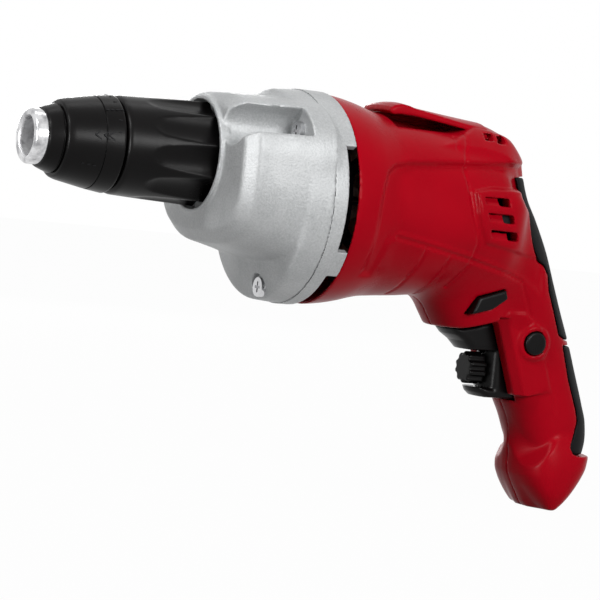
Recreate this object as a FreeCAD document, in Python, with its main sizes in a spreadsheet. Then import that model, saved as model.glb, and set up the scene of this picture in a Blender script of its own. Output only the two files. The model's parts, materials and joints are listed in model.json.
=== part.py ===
import FreeCAD, Part
import Sketcher
import math
import os
from types import SimpleNamespace

# A mains drywall screwdriver. The nose points to -X and the spindle lies on the X axis.
# The origin is the middle of the nose's mouth, +Z is up and the tool's left side faces -Y.

SIZES = {
    # clearances shared by all pieces
    "running_fit": 0.05,
    "face_gap": 0.2,
    "overrun": 2.0,
    # nose and depth stop
    "tip_radius": 10.8,
    "tip_bore": 7.5,
    "tip_length": 5.3,
    "tip_shank_radius": 9.4,
    "tip_shank_length": 14.0,
    "cone_mouth_radius": 11.5,
    "cone_radius": 13.3,
    "cone_length": 6.4,
    "cone_groove_width": 1.0,
    "cone_groove_depth": 0.8,
    "index_front_radius": 14.2,
    "index_radius": 18.5,
    "index_length": 22.5,
    "carrier_radius": 12.0,
    "carrier_bore": 9.8,
    "carrier_length": 50.0,
    "carrier_slack": 0.7,
    # adjusting collar
    "collar_gap": 0.6,
    "collar_front_radius": 18.7,
    "collar_rear_radius": 20.6,
    "collar_length": 40.2,
    "collar_chamfer": 0.8,
    "thread_gap": 0.35,
    "flute_count": 10,
    "flute_depth": 1.5,
    "flute_radius": 9.0,
    "flute_start": 6.0,
    "neck_radius": 15.5,
    "neck_length": 15.0,
    "snap_ring_width": 1.2,
    "snap_ring_step": 0.8,
    "snap_ring_inset": 2.0,
    # gear head casting
    "boss_inset": 2.0,
    "boss_length": 30.0,
    "boss_half_width": 41.0,
    "boss_top": 25.5,
    "boss_bottom": 31.0,
    "boss_chamfer": 4.0,
    "boss_foot_half_width": 42.2,
    "boss_foot_top": 28.6,
    "boss_foot_bottom": 40.0,
    "recess_radius": 22.4,
    "recess_depth": 4.0,
    "flange_radius": 42.6,
    "flange_thickness": 10.4,
    "ring_radius": 43.5,
    "gasket_thickness": 0.5,
    "gasket_width": 2.6,
    "screw_circle": 38.0,
    "screw_channel_radius": 8.5,
    "screw_first_angle": 137.0,
    "screw_count": 3,
    "screw_sink": 1.2,
    "screw_radius": 2.0,
    "screw_head_radius": 3.9,
    "screw_head_height": 2.8,
    "screw_length": 16.0,
    "screw_clearance": 0.2,
    "screw_cross_width": 1.0,
    "screw_cross_length": 4.4,
    "screw_cross_depth": 1.4,
    # spindle line
    "spindle_front": 20.0,
    "spindle_radius": 5.5,
    "bit_hex": 6.35,
    "bit_socket_depth": 13.0,
    "magnet_radius": 2.6,
    "magnet_length": 4.0,
    "seal_radius": 9.0,
    "seal_length": 2.5,
    "bush_length": 11.7,
    "washer_thickness": 1.2,
    "dog_flange_radius": 9.0,
    "dog_flange_thickness": 3.0,
    "dog_height": 2.0,
    "dog_angle": 50.0,
    "dog_count": 3,
    "dog_inner_radius": 7.2,
    "dog_gap": 1.0,
    "press_travel": 2.6,
    "tail_radius": 4.0,
    "tail_length": 18.3,
    "clutch_wire": 0.8,
    "clutch_spring_radius": 5.6,
    # gears
    "gear_module": 0.65,
    "pinion_teeth": 8,
    "gear_teeth": 32,
    "tooth_shift_share": 0.5,
    "addendum_share": 0.8,
    "dedendum_share": 1.25,
    "pressure_angle": 20.0,
    "tooth_thinning": 0.06,
    "gear_width": 7.0,
    "gear_counterbore": 2.0,
    "gear_counterbore_radius": 6.9,
    "pinion_width": 9.0,
    "gear_bush_flange": 7.0,
    "gear_bush_radius": 6.0,
    "gear_chamber_radius": 15.0,
    "pinion_pocket_radius": 6.5,
    # bearing plate
    "plate_web": 3.8,
    "plate_rim_length": 7.2,
    "plate_rim": 3.2,
    "plate_tab": 3.2,
    "side_slot_angle": 58.0,
    "side_slot_centre": 2.0,
    "bottom_slot_angle": 94.0,
    "bearing_radius": 9.5,
    "bearing_width": 6.0,
    "bearing_hub_wall": 3.0,
    # motor
    "shaft_radius": 3.0,
    "fan_gap": 2.5,
    "fan_radius": 31.0,
    "fan_disc": 1.6,
    "fan_blade_height": 5.4,
    "fan_blade_thickness": 1.4,
    "fan_blade_count": 12,
    "fan_hub_radius": 8.0,
    "fan_blade_start": 7.0,
    "fan_blade_span": 23.0,
    "baffle_thickness": 2.5,
    "baffle_bore": 29.0,
    "core_gap": 4.5,
    "core_length": 33.0,
    "core_radius": 17.5,
    "winding_radius": 15.5,
    "winding_inner_radius": 6.5,
    "winding_length": 7.0,
    "air_gap": 0.5,
    "field_radius": 27.0,
    "field_coil_length": 3.6,
    "field_coil_wall": 7.0,
    "commutator_gap": 4.0,
    "commutator_radius": 10.0,
    "commutator_length": 11.0,
    "rear_bearing_gap": 3.0,
    "brush_width": 6.4,
    "brush_height": 6.0,
    "brush_length": 12.0,
    "brush_wall": 1.2,
    # moulded housing
    "wall": 3.0,
    "barrel_radius": 42.8,
    "barrel_length": 94.0,
    "handle_reach": 93.5,
    "handle_drop": 121.0,
    "handle_depth": 38.0,
    "handle_width": 36.0,
    "handle_lean": 19.7,
    "rib_thickness": 2.5,
    "bearing_rib_half_height": 12.0,
    "boss_radius": 5.2,
    "boss_seat": 8.0,
    "boss_screw_length": 18.0,
    "vent_length": 15.0,
    "vent_height": 3.2,
    "vent_pitch": 6.6,
    "vent_count": 3,
    "vent_front": 66.0,
    "vent_rise": 8.0,
    "grip_thickness": 1.8,
    # belt clip
    "clip_front": 24.5,
    "clip_length": 61.5,
    "clip_height": 8.9,
    "clip_width": 24.0,
    "clip_trench_drop": 0.6,
    "clip_trench_right": 6.0,
    "clip_lip": 2.5,
    "clip_root_share": 0.74,
    # trigger, dial, lock, reversing slide
    "trigger_front": 66.8,
    "trigger_drop": 48.6,
    "trigger_height": 28.2,
    "trigger_depth": 42.0,
    "trigger_width": 17.0,
    "trigger_travel": 5.0,
    "trigger_side_gap": 0.4,
    "dial_radius": 6.9,
    "dial_length": 9.6,
    "dial_scallops": 10,
    "dial_scallop_radius": 1.3,
    "dial_stem_radius": 2.0,
    "dial_stem_length": 4.0,
    "lock_radius": 5.25,
    "lock_proud": 2.0,
    "lock_length": 7.0,
    "lock_reach": 104.4,
    "lock_drop": 50.5,
    "slide_reach": 69.8,
    "slide_drop": 40.4,
    "slide_length": 16.6,
    "slide_height": 11.2,
    "slide_half_span": 22.8,
    "slide_gap": 0.3,
    # switch and cable inlet
    "switch_depth": 15.0,
    "switch_width": 20.0,
    "switch_height": 29.0,
    "trigger_wire": 0.8,
    "trigger_spring_radius": 2.9,
    "trigger_turns": 6,
    "spring_drop": 53.5,
    "spring_pocket_gap": 0.7,
    "capacitor_radius": 5.5,
    "capacitor_length": 20.0,
    "terminal_depth": 3.6,
    "terminal_height": 12.0,
    "gland_bore": 3.6,
    "gland_radius": 5.2,
    "gland_length": 12.0,
    "gland_flange_radius": 7.0,
    "gland_flange_thickness": 2.5,
    "gland_sink": 1.5,
    "base_floor": 7.0,
}

# Outlines as shares, chosen by hand, of the sizes named beside them.
# Barrel: along barrel_length, of barrel_radius.
BARREL_SHARES = (
    (0.0, 1.0), (0.12, 0.965), (0.25, 0.888), (0.45, 0.84), (0.6, 0.806), (0.75, 0.773), (0.88, 0.735),
    (0.96, 0.66), (1.0, 0.56),
)
WAIST = 2
BRUSHES = 6
# Visor and handle levels: drop below the motor axis of handle_drop, then reach to the front and
# to the back of the leaning centre line of handle_depth, and half width of half handle_width.
VISOR_SHARES = (
    (-0.041, 1.155, 0.24, 1.6),
    (0.099, 1.316, 0.08, 1.51),
    (0.223, 1.379, -0.08, 1.26),
    (0.306, 1.34, -0.18, 1.09),
    (0.392, 1.255, -0.25, 0.98),
)
HANDLE_SHARES = (
    (-0.281, 0.33, 0.20, 0.94),
    (-0.19, 0.65, 0.29, 1.39),
    (-0.041, 0.813, 0.358, 1.62),
    (0.099, 0.842, 0.447, 1.53),
    (0.223, 0.72, 0.445, 1.28),
    (0.306, 0.616, 0.455, 1.11),
    (0.405, 0.545, 0.495, 1.0),
    (0.512, 0.51, 0.51, 0.98),
    (0.628, 0.513, 0.518, 0.97),
    (0.744, 0.445, 0.51, 0.97),
    (0.81, 0.524, 0.487, 1.02),
    (0.868, 0.645, 0.44, 1.10),
    (0.942, 0.632, 0.224, 1.08),
    (1.0, 0.526, -0.08, 0.95),
)
ROUNDNESS_SHARE = 2.7
OVAL_POINTS = 20
# Underside of the visor over the trigger: reach behind the barrel's front edge of handle_reach,
# drop below the motor axis of handle_drop.
VISOR_EDGE_SHARES = ((0.42, 0.392), (0.76, 0.379), (0.92, 0.345), (1.07, 0.326), (1.07, 0.46), (0.42, 0.46))
# Front edges of the rubber pads, measured alike.
UPPER_PAD_SHARES = (
    (0.923, -0.137), (0.971, -0.053), (1.021, 0.048), (1.05, 0.099), (1.078, 0.131), (1.12, 0.146),
    (1.155, 0.178), (1.164, 0.231), (1.215, 0.314), (1.254, 0.382), (1.31, 0.402), (1.75, 0.402), (1.3, -0.137),
)
LOWER_PAD_SHARES = (
    (1.287, 0.42), (1.335, 0.537), (1.395, 0.64), (1.407, 0.682), (1.389, 0.736), (1.369, 0.772),
    (1.383, 0.793), (1.417, 0.802), (1.75, 0.802), (1.65, 0.42),
)
# Belt clip from its front end: along clip_length, up from its seat of clip_height.
CLIP_SHARES = (
    (0.0, 0.62), (0.015, 0.8), (0.06, 0.93), (0.12, 1.0), (0.19, 0.95), (0.24, 0.87), (0.55, 0.69), (0.94, 0.44),
    (1.0, 0.0), (0.69, 0.0), (0.75, 0.36), (0.55, 0.41), (0.24, 0.53), (0.12, 0.57), (0.03, 0.53),
)
# The lip under its right edge, measured alike.
LIP_SHARES = ((0.13, 0.6), (0.24, 0.6), (0.55, 0.48), (0.68, 0.42), (0.68, -0.12), (0.13, 0.25))
# Trigger from its top front corner: back of trigger_depth, down of trigger_height.
TRIGGER_SHARES = (
    (0.0, 0.0), (0.74, 0.0), (1.0, 1.0), (0.488, 1.0), (0.43, 0.9), (0.393, 0.787), (0.524, 0.787),
    (0.524, 0.284), (0.262, 0.284), (0.167, 0.135), (0.07, 0.05),
)
NOTCH_BACK = 6
NOTCH_TOP = 7
# Reversing slide from its front lower corner: back of slide_length, up of slide_height.
SLIDE_SHARES = ((0.0, 0.0), (0.18, 0.64), (0.93, 1.0), (1.0, 0.67), (0.6, 0.25))
# Housing screws: reach behind the barrel's front edge of handle_reach, drop of handle_drop.
HOUSING_SCREW_SHARES = ((0.36, 0.273), (0.77, -0.235), (1.015, 0.207), (1.21, 0.285), (1.28, 0.775))

doc = FreeCAD.newDocument("drywall_screwdriver")
sheet = doc.addObject("Spreadsheet::Sheet", "Sizes")
for row, (name, value) in enumerate(SIZES.items(), start=1):
    sheet.set(f"A{row}", name)
    sheet.set(f"B{row}", str(value))
    sheet.setAlias(f"B{row}", name)
doc.recompute()


class Size:
    """A number together with the sheet expression that gives it."""

    def __init__(self, text, value):
        self.text = text
        self.value = value

    def __add__(self, other):
        return Size(f"({self.text} + {text_of(other)})", self.value + value_of(other))

    def __sub__(self, other):
        return Size(f"({self.text} - {text_of(other)})", self.value - value_of(other))

    def __mul__(self, other):
        return Size(f"({self.text} * {text_of(other)})", self.value * value_of(other))

    def __truediv__(self, other):
        return Size(f"({self.text} / {text_of(other)})", self.value / value_of(other))

    def __neg__(self):
        return Size(f"(-{self.text})", -self.value)


def text_of(number):
    return number.text if isinstance(number, Size) else repr(number)


def value_of(number):
    return number.value if isinstance(number, Size) else number


s = SimpleNamespace(**{name: Size(f"Sizes.{name}", sheet.get(name)) for name in SIZES})
ZERO = Size("0", 0.0)
X_WAY = FreeCAD.Vector(1, 0, 0)
Y_WAY = FreeCAD.Vector(0, 1, 0)
Z_WAY = FreeCAD.Vector(0, 0, 1)
UPRIGHT = FreeCAD.Rotation()
ALONG_X = FreeCAD.Rotation(Y_WAY, 90)
ALONG_LEFT = FreeCAD.Rotation(X_WAY, 90)
parts = []


def put(item, x=ZERO, y=ZERO, z=ZERO, turn=UPRIGHT):
    """Turn an object, and bind its place to the sheet."""
    item.Placement = FreeCAD.Placement(FreeCAD.Vector(), turn)
    for axis, size in zip("xyz", (x, y, z)):
        if size is not ZERO:
            item.setExpression(f"Placement.Base.{axis}", size.text)
    return item


def made(kind, label, **sizes):
    item = doc.addObject(kind, label)
    for name, size in sizes.items():
        item.setExpression(name, size.text)
    return item


def rod(label, radius, length, x=ZERO, y=ZERO, z=ZERO, turn=ALONG_X):
    return put(made("Part::Cylinder", label, Radius=radius, Height=length), x, y, z, turn)


def block(label, length, width, height, x=ZERO, y=ZERO, z=ZERO, turn=UPRIGHT):
    return put(made("Part::Box", label, Length=length, Width=width, Height=height), x, y, z, turn)


def outline_sketch(body, label, outline):
    """A closed outline in the XZ plane with every corner bound to the sheet."""
    sketch = body.newObject("Sketcher::SketchObject", f"{label}_outline")
    plane = [item for item in body.Origin.OriginFeatures if item.Role == "XZ_Plane"][0]
    sketch.AttachmentSupport = [(plane, "")]
    sketch.MapMode = "FlatFace"
    count = len(outline)
    corners = [FreeCAD.Vector(x.value, z.value, 0) for x, z in outline]
    for at in range(count):
        sketch.addGeometry(Part.LineSegment(corners[at], corners[(at + 1) % count]), False)
    for at in range(count):
        sketch.addConstraint(Sketcher.Constraint("Coincident", at, 2, (at + 1) % count, 1))
    for at, (x, z) in enumerate(outline):
        for kind, size, axis in (("DistanceX", x, -2), ("DistanceY", z, -1)):
            if size is ZERO:
                sketch.addConstraint(Sketcher.Constraint("PointOnObject", at, 1, axis))
                continue
            index = sketch.addConstraint(Sketcher.Constraint(kind, -1, 1, at, 1, size.value))
            sketch.setExpression(f"Constraints[{index}]", size.text)
    return sketch


def turned(label, outline, x=ZERO, y=ZERO, z=ZERO, turn=UPRIGHT):
    """A turned piece: its outline, in stations and radii, spun about the X axis."""
    body = doc.addObject("PartDesign::Body", label)
    sketch = outline_sketch(body, label, outline)
    spin = body.newObject("PartDesign::Revolution", f"{label}_spin")
    spin.Profile = sketch
    spin.ReferenceAxis = (sketch, ["H_Axis"])
    spin.Angle = 360
    return put(body, x, y, z, turn)


def sleeve(label, front, length, inner, outer, z=ZERO):
    rear = front + length
    return turned(label, [(front, inner), (front, outer), (rear, outer), (rear, inner)], z=z)


def prism(label, outline, width):
    """A flat outline in the XZ plane, padded to both sides of the middle."""
    body = doc.addObject("PartDesign::Body", label)
    sketch = outline_sketch(body, label, outline)
    pad = body.newObject("PartDesign::Pad", f"{label}_pad")
    pad.Profile = sketch
    pad.setExpression("Length", width.text)
    pad.Midplane = True
    return body


def joined(label, *items):
    fuse = doc.addObject("Part::MultiFuse", label)
    fuse.Shapes = list(items)
    return fuse


def less(label, base, *tools):
    """A piece with tools taken away from it."""
    cut = doc.addObject("Part::Cut", label)
    cut.Base = base
    cut.Tool = tools[0] if len(tools) == 1 else joined(f"{label}_tools", *tools)
    return cut


def feature(label, shape):
    item = doc.addObject("Part::Feature", label)
    item.Shape = shape
    return item


def keep(item, label=None):
    """Count an object among the pieces that are written out, under its own label."""
    item.Label = label or item.Label
    parts.append(item)
    return item


def around(count, start=0.0):
    """Evenly spaced angles, in degrees."""
    return [start + 360.0 * at / count for at in range(count)]


# stations along the spindle, from the nose's mouth
axis_drop = s.gear_module * (s.pinion_teeth + s.gear_teeth) / 2
motor_z = -axis_drop
index_front = s.tip_length + s.cone_length
nose_rear = index_front + s.index_length
carrier_front = s.tip_length + s.tip_shank_length + s.carrier_slack
collar_front = nose_rear + s.collar_gap
collar_rear = collar_front + s.collar_length
boss_face = collar_rear - s.boss_inset
recess_floor = boss_face + s.recess_depth
neck_front = collar_rear - s.neck_length
neck_bore = s.carrier_radius + s.running_fit
collar_bore = s.neck_radius + s.running_fit
flange_front = boss_face + s.boss_length
gasket_front = flange_front + s.flange_thickness
plate_front = gasket_front + s.gasket_thickness
web_rear = plate_front + s.plate_web
rim_rear = plate_front + s.plate_rim_length
housing_front = rim_rear + s.plate_tab
seal_front = recess_floor + s.face_gap
bush_front = seal_front + s.seal_length
bush_rear = bush_front + s.bush_length
washer_front = bush_rear + s.running_fit
flange_x = washer_front + s.washer_thickness + s.running_fit
dogs_x = flange_x + s.dog_flange_thickness
gear_dogs_x = dogs_x + s.dog_height + s.dog_gap
gear_front = gear_dogs_x + s.dog_height
gear_rear = gear_front + s.gear_width
bearing_front = web_rear + s.face_gap
hub_rear = bearing_front + s.bearing_width
pinion_front = gear_front - (s.pinion_width - s.gear_width) / 2
pinion_rear = pinion_front + s.pinion_width
fan_front = hub_rear + s.fan_gap
fan_rear = fan_front + s.fan_disc + s.fan_blade_height
waist_x = housing_front + s.barrel_length * BARREL_SHARES[WAIST][0]
core_front = waist_x + s.core_gap
core_rear = core_front + s.core_length
commutator_front = core_rear + s.winding_length + s.commutator_gap
commutator_rear = commutator_front + s.commutator_length
rear_bearing_front = commutator_rear + s.rear_bearing_gap
rear_bearing_rear = rear_bearing_front + s.bearing_width
shaft_rear = rear_bearing_rear + s.face_gap


# nose: steel mouth in a black sleeve, on a carrier tube
def nose():
    lip = (s.tip_radius - s.tip_bore) / 2
    mouth = made("Part::Torus", "mouth_round", Radius1=s.tip_bore + lip, Radius2=lip)
    put(mouth, x=lip, turn=ALONG_X)
    shank_rear = s.tip_length + s.tip_shank_length
    tube = turned("tip_tube", [
        (lip, s.tip_bore), (lip, s.tip_radius), (s.tip_length, s.tip_radius),
        (s.tip_length, s.tip_shank_radius), (shank_rear, s.tip_shank_radius), (shank_rear, s.tip_bore),
    ])
    keep(joined("nose_tip", mouth, tube))
    groove_front = index_front - s.cone_groove_width
    groove_radius = s.cone_radius - s.cone_groove_depth
    keep(turned("nose_cone", [
        (s.tip_length, s.tip_shank_radius), (s.tip_length, s.cone_mouth_radius),
        (groove_front, s.cone_radius), (groove_front, groove_radius),
        (index_front, groove_radius), (index_front, s.index_front_radius),
        (nose_rear, s.index_radius), (nose_rear, neck_bore),
        (shank_rear, neck_bore), (shank_rear, s.tip_shank_radius),
    ]))
    keep(sleeve("nose_carrier", carrier_front, s.carrier_length, s.carrier_bore, s.carrier_radius))


# collar with its flutes, and the snap ring that holds it on the neck
snap_front = neck_front + s.snap_ring_inset
snap_rear = snap_front + s.snap_ring_width
snap_inner = s.neck_radius - s.snap_ring_step
snap_outer = s.neck_radius + s.snap_ring_step


def collar():
    thread = s.carrier_radius + s.thread_gap
    shoulder = neck_front - s.face_gap
    groove_front = snap_front - s.face_gap
    groove_rear = snap_rear + s.face_gap
    groove_radius = snap_outer + s.face_gap
    blank = turned("collar_blank", [
        (collar_front, thread), (collar_front, s.collar_front_radius - s.collar_chamfer),
        (collar_front + s.collar_chamfer, s.collar_front_radius),
        (collar_rear - s.collar_chamfer, s.collar_rear_radius),
        (collar_rear, s.collar_rear_radius - s.collar_chamfer), (collar_rear, collar_bore),
        (groove_rear, collar_bore), (groove_rear, groove_radius), (groove_front, groove_radius),
        (groove_front, collar_bore), (shoulder, collar_bore), (shoulder, thread),
    ])
    circle = s.collar_rear_radius - s.flute_depth + s.flute_radius
    length = s.collar_length - s.flute_start + s.overrun
    flutes = []
    for angle in around(int(s.flute_count.value)):
        flutes.append(rod(f"flute_{angle:.0f}", s.flute_radius, length, collar_front + s.flute_start,
                          circle * math.cos(math.radians(angle)), circle * math.sin(math.radians(angle))))
    keep(less("adjusting_collar", blank, *flutes))
    keep(sleeve("collar_snap_ring", snap_front, s.snap_ring_width, snap_inner, snap_outer))


def oval(centre, half_a, low, high, way_a, way_b):
    """A closed smooth oval: half_a to both sides along way_a, low and high along way_b."""
    points = []
    for at in range(OVAL_POINTS):
        angle = 2 * math.pi * at / OVAL_POINTS
        across = math.copysign(abs(math.cos(angle)) ** (2 / ROUNDNESS_SHARE), math.cos(angle))
        along = math.copysign(abs(math.sin(angle)) ** (2 / ROUNDNESS_SHARE), math.sin(angle))
        reach = high if along > 0 else low
        points.append(centre + way_a * (half_a * across) + way_b * (reach * along))
    curve = Part.BSplineCurve()
    curve.interpolate(Points=points, PeriodicFlag=True)
    return Part.Wire([curve.toShape()])


def screw_places():
    """Middle of each gear housing screw, across and up."""
    for angle in around(int(s.screw_count.value), s.screw_first_angle.value):
        turn = math.radians(angle)
        yield s.screw_circle * math.cos(turn), motor_z + s.screw_circle * math.sin(turn)


def screw(head_radius, head_height, radius, length):
    """A cross-recessed screw along +X, its head's seat at the origin."""
    body = Part.makeCylinder(head_radius, head_height, X_WAY * -head_height, X_WAY)
    body = body.fuse(Part.makeCylinder(radius, length, FreeCAD.Vector(), X_WAY)).removeSplitter()
    width = s.screw_cross_width.value
    reach = s.screw_cross_length.value
    depth = s.screw_cross_depth.value
    for wide, tall in ((width, reach), (reach, width)):
        slot = Part.makeBox(depth, wide, tall, FreeCAD.Vector(-head_height, -wide / 2, -tall / 2))
        body = body.cut(slot)
    return body


def boss_section(x, half_width, top, bottom):
    return oval(X_WAY * x.value, half_width.value, bottom.value, top.value, Y_WAY, Z_WAY)


# gear head: an oval boss on a round flange, with a neck for the collar
def gear_head():
    trim = s.boss_chamfer
    boss = feature("gear_boss", Part.makeLoft([
        boss_section(boss_face, s.boss_half_width - trim, s.boss_top - trim, s.boss_bottom - trim),
        boss_section(boss_face + trim, s.boss_half_width, s.boss_top, s.boss_bottom),
        boss_section(flange_front, s.boss_foot_half_width, s.boss_foot_top, s.boss_foot_bottom),
        boss_section(flange_front + s.overrun, s.boss_foot_half_width, s.boss_foot_top, s.boss_foot_bottom),
    ], True, True))
    flange = turned("gear_flange", [
        (flange_front, ZERO), (flange_front, s.flange_radius),
        (gasket_front, s.ring_radius), (gasket_front, ZERO),
    ], z=motor_z)
    recess = rod("collar_recess", s.recess_radius, s.recess_depth + s.overrun, boss_face - s.overrun)
    channels = []
    holes = []
    for at, (y, z) in enumerate(screw_places()):
        length = s.boss_length + s.screw_sink + s.overrun
        channels.append(rod(f"screw_channel_{at}", s.screw_channel_radius, length, boss_face - s.overrun, y, z))
        turn = math.radians(s.screw_first_angle.value + 360 * at / s.screw_count.value)
        opening = block(f"channel_mouth_{at}", length, s.screw_channel_radius * 2, s.screw_circle,
                        boss_face - s.overrun, y + s.screw_channel_radius * -math.sin(turn),
                        z + s.screw_channel_radius * math.cos(turn))
        opening.Placement.Rotation = FreeCAD.Rotation(X_WAY, math.degrees(turn) - 90)
        channels.append(opening)
        holes.append(rod(f"flange_hole_{at}", s.screw_radius + s.screw_clearance,
                         s.flange_thickness + s.overrun * 2, flange_front - s.overrun, y, z))
    rough = less("gear_head_rough", joined("gear_head_solid", boss, flange), recess, *channels)
    neck = turned("collar_neck", [
        (neck_front, ZERO), (neck_front, s.neck_radius), (snap_front, s.neck_radius), (snap_front, snap_inner),
        (snap_rear, snap_inner), (snap_rear, s.neck_radius), (recess_floor + s.overrun, s.neck_radius),
        (recess_floor + s.overrun, ZERO),
    ])
    bore = turned("gear_head_bore", [
        (neck_front - s.overrun, ZERO), (neck_front - s.overrun, neck_bore), (recess_floor, neck_bore),
        (recess_floor, s.seal_radius), (bush_rear, s.seal_radius), (bush_rear, s.gear_chamber_radius),
        (gasket_front + s.overrun, s.gear_chamber_radius), (gasket_front + s.overrun, ZERO),
    ])
    pocket = rod("pinion_pocket", s.pinion_pocket_radius, gasket_front - pinion_front + s.overrun * 2,
                 pinion_front - s.overrun, z=motor_z)
    keep(less("gear_housing", joined("gear_head_with_neck", rough, neck), bore, pocket, *holes))
    keep(sleeve("gear_case_gasket", gasket_front, s.gasket_thickness, s.ring_radius - s.face_gap - s.gasket_width,
                s.ring_radius - s.face_gap, motor_z))
    body = screw(s.screw_head_radius.value, s.screw_head_height.value, s.screw_radius.value, s.screw_length.value)
    seat = (flange_front + s.screw_sink).value
    group = [body.translated(FreeCAD.Vector(seat, y.value, z.value)) for y, z in screw_places()]
    keep(feature("gear_housing_screws", Part.makeCompound(group)))


# bearing plate behind the gear head, with the tabs between the air outlets
def bearing_plate():
    hole = s.shaft_radius + s.gear_module * 2
    rim_inner = s.ring_radius - s.plate_rim
    hub = s.bearing_radius + s.bearing_hub_wall
    disc = turned("plate_disc", [
        (plate_front, hole), (plate_front, s.ring_radius), (rim_rear, s.ring_radius), (rim_rear, rim_inner),
        (web_rear, rim_inner), (web_rear, hub), (hub_rear, hub), (hub_rear, s.bearing_radius),
        (bearing_front, s.bearing_radius), (bearing_front, hole),
    ], z=motor_z)
    ring = sleeve("tab_ring", rim_rear, s.plate_tab, rim_inner, s.ring_radius, motor_z)
    slots = []
    centres = ((0.0, s.side_slot_angle, s.side_slot_centre), (180.0, s.side_slot_angle, -s.side_slot_centre),
               (270.0, s.bottom_slot_angle, ZERO))
    for middle, angle, lift in centres:
        reach = s.ring_radius + s.overrun
        slot = rod(f"air_outlet_{middle:.0f}", reach, s.plate_tab + s.overrun, rim_rear, z=motor_z)
        slot.setExpression("Angle", angle.text)
        start = middle + lift.value - angle.value / 2
        slot.Placement.Rotation = FreeCAD.Rotation(X_WAY, start) * FreeCAD.Rotation(FreeCAD.Vector(1, 1, 1), 120)
        slots.append(slot)
    tabs = less("plate_tabs", ring, *slots)
    holes = [rod("gear_bush_hole", s.gear_bush_radius, s.plate_web + s.overrun, plate_front - s.overrun)]
    for at, (y, z) in enumerate(screw_places()):
        holes.append(rod(f"plate_hole_{at}", s.screw_radius + s.screw_clearance, s.plate_web + s.overrun * 2,
                         plate_front - s.overrun, y, z))
    keep(joined("bearing_plate", less("plate_drilled", disc, *holes), tabs))
    keep(bearing("front_bearing", bearing_front))
    flange_front_x = gear_rear + s.face_gap
    bush_bore = s.tail_radius + s.running_fit
    keep(turned("gear_bush", [
        (flange_front_x, bush_bore), (flange_front_x, s.gear_bush_flange), (plate_front, s.gear_bush_flange),
        (plate_front, s.gear_bush_radius), (web_rear, s.gear_bush_radius), (web_rear, bush_bore),
    ]))


def bearing(label, front):
    """A ball bearing with its shields set back between the rings."""
    rear = front + s.bearing_width
    bore = s.shaft_radius + s.running_fit
    inner = bore + (s.bearing_radius - bore) / 4
    outer = s.bearing_radius - (s.bearing_radius - bore) / 5
    return turned(label, [
        (front, bore), (front, inner), (front + s.face_gap, inner), (front + s.face_gap, outer), (front, outer),
        (front, s.bearing_radius), (rear, s.bearing_radius), (rear, outer), (rear - s.face_gap, outer),
        (rear - s.face_gap, inner), (rear, inner), (rear, bore),
    ], z=motor_z)


def helix(label, radius, wire, height, turns, start):
    """An open coil spring along +X from start; its least gap to itself is the pitch less the wire."""
    pitch = (height - wire) / turns
    path = Part.makeHelix(pitch, height - wire, radius)
    ring = Part.Wire([Part.makeCircle(wire / 2, FreeCAD.Vector(radius, 0, 0), Y_WAY)])
    shell = Part.BRepOffsetAPI.MakePipeShell(path)
    shell.setFrenetMode(True)
    shell.add(ring)
    shell.build()
    shell.makeSolid()
    print(label, "gap between turns", round(pitch - wire, 3))
    coil = feature(label, shell.shape())
    coil.Placement = FreeCAD.Placement(start + X_WAY * (wire / 2), ALONG_X)
    return coil


def lugs(label, start, phase):
    """Driving dogs: short ring sectors that stand on a face."""
    solids = []
    for angle in around(int(s.dog_count.value), phase - s.dog_angle.value / 2):
        spot = X_WAY * start.value
        height = s.dog_height.value
        sector = Part.makeCylinder(s.dog_flange_radius.value, height, FreeCAD.Vector(), Z_WAY, s.dog_angle.value)
        core = Part.makeCylinder(s.dog_inner_radius.value, height)
        sector = sector.cut(core)
        turn = FreeCAD.Rotation(X_WAY, angle) * FreeCAD.Rotation(FreeCAD.Vector(1, 1, 1), 120)
        sector.Placement = FreeCAD.Placement(spot, turn)
        solids.append(sector)
    return feature(label, Part.makeCompound(solids))


# spindle with its bit socket, and what it runs in
def spindle():
    tail_rear = dogs_x + s.tail_length
    blank = turned("spindle_blank", [
        (s.spindle_front, ZERO), (s.spindle_front, s.spindle_radius), (flange_x, s.spindle_radius),
        (flange_x, s.dog_flange_radius), (dogs_x, s.dog_flange_radius), (dogs_x, s.tail_radius),
        (tail_rear, s.tail_radius), (tail_rear, ZERO),
    ])
    socket = made("Part::Prism", "bit_socket", Circumradius=s.bit_hex / math.sqrt(3), Height=s.bit_socket_depth)
    socket.Polygon = 6
    put(socket, x=s.spindle_front, turn=ALONG_X)
    magnet_front = s.spindle_front + s.bit_socket_depth
    hole = rod("magnet_hole", s.magnet_radius, s.magnet_length, magnet_front)
    drilled = less("spindle_drilled", blank, socket, hole)
    keep(joined("spindle", drilled, lugs("spindle_dogs", dogs_x, 0.0)))
    keep(rod("bit_magnet", s.magnet_radius, s.magnet_length, magnet_front))
    bush_bore = s.spindle_radius + s.running_fit
    keep(sleeve("spindle_seal", seal_front, s.seal_length, bush_bore, s.seal_radius))
    keep(sleeve("spindle_bush", bush_front, s.bush_length, bush_bore, s.seal_radius))
    keep(sleeve("thrust_washer", washer_front, s.washer_thickness, bush_bore, s.dog_flange_radius))


def involute(angle):
    return math.tan(angle) - angle


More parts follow.
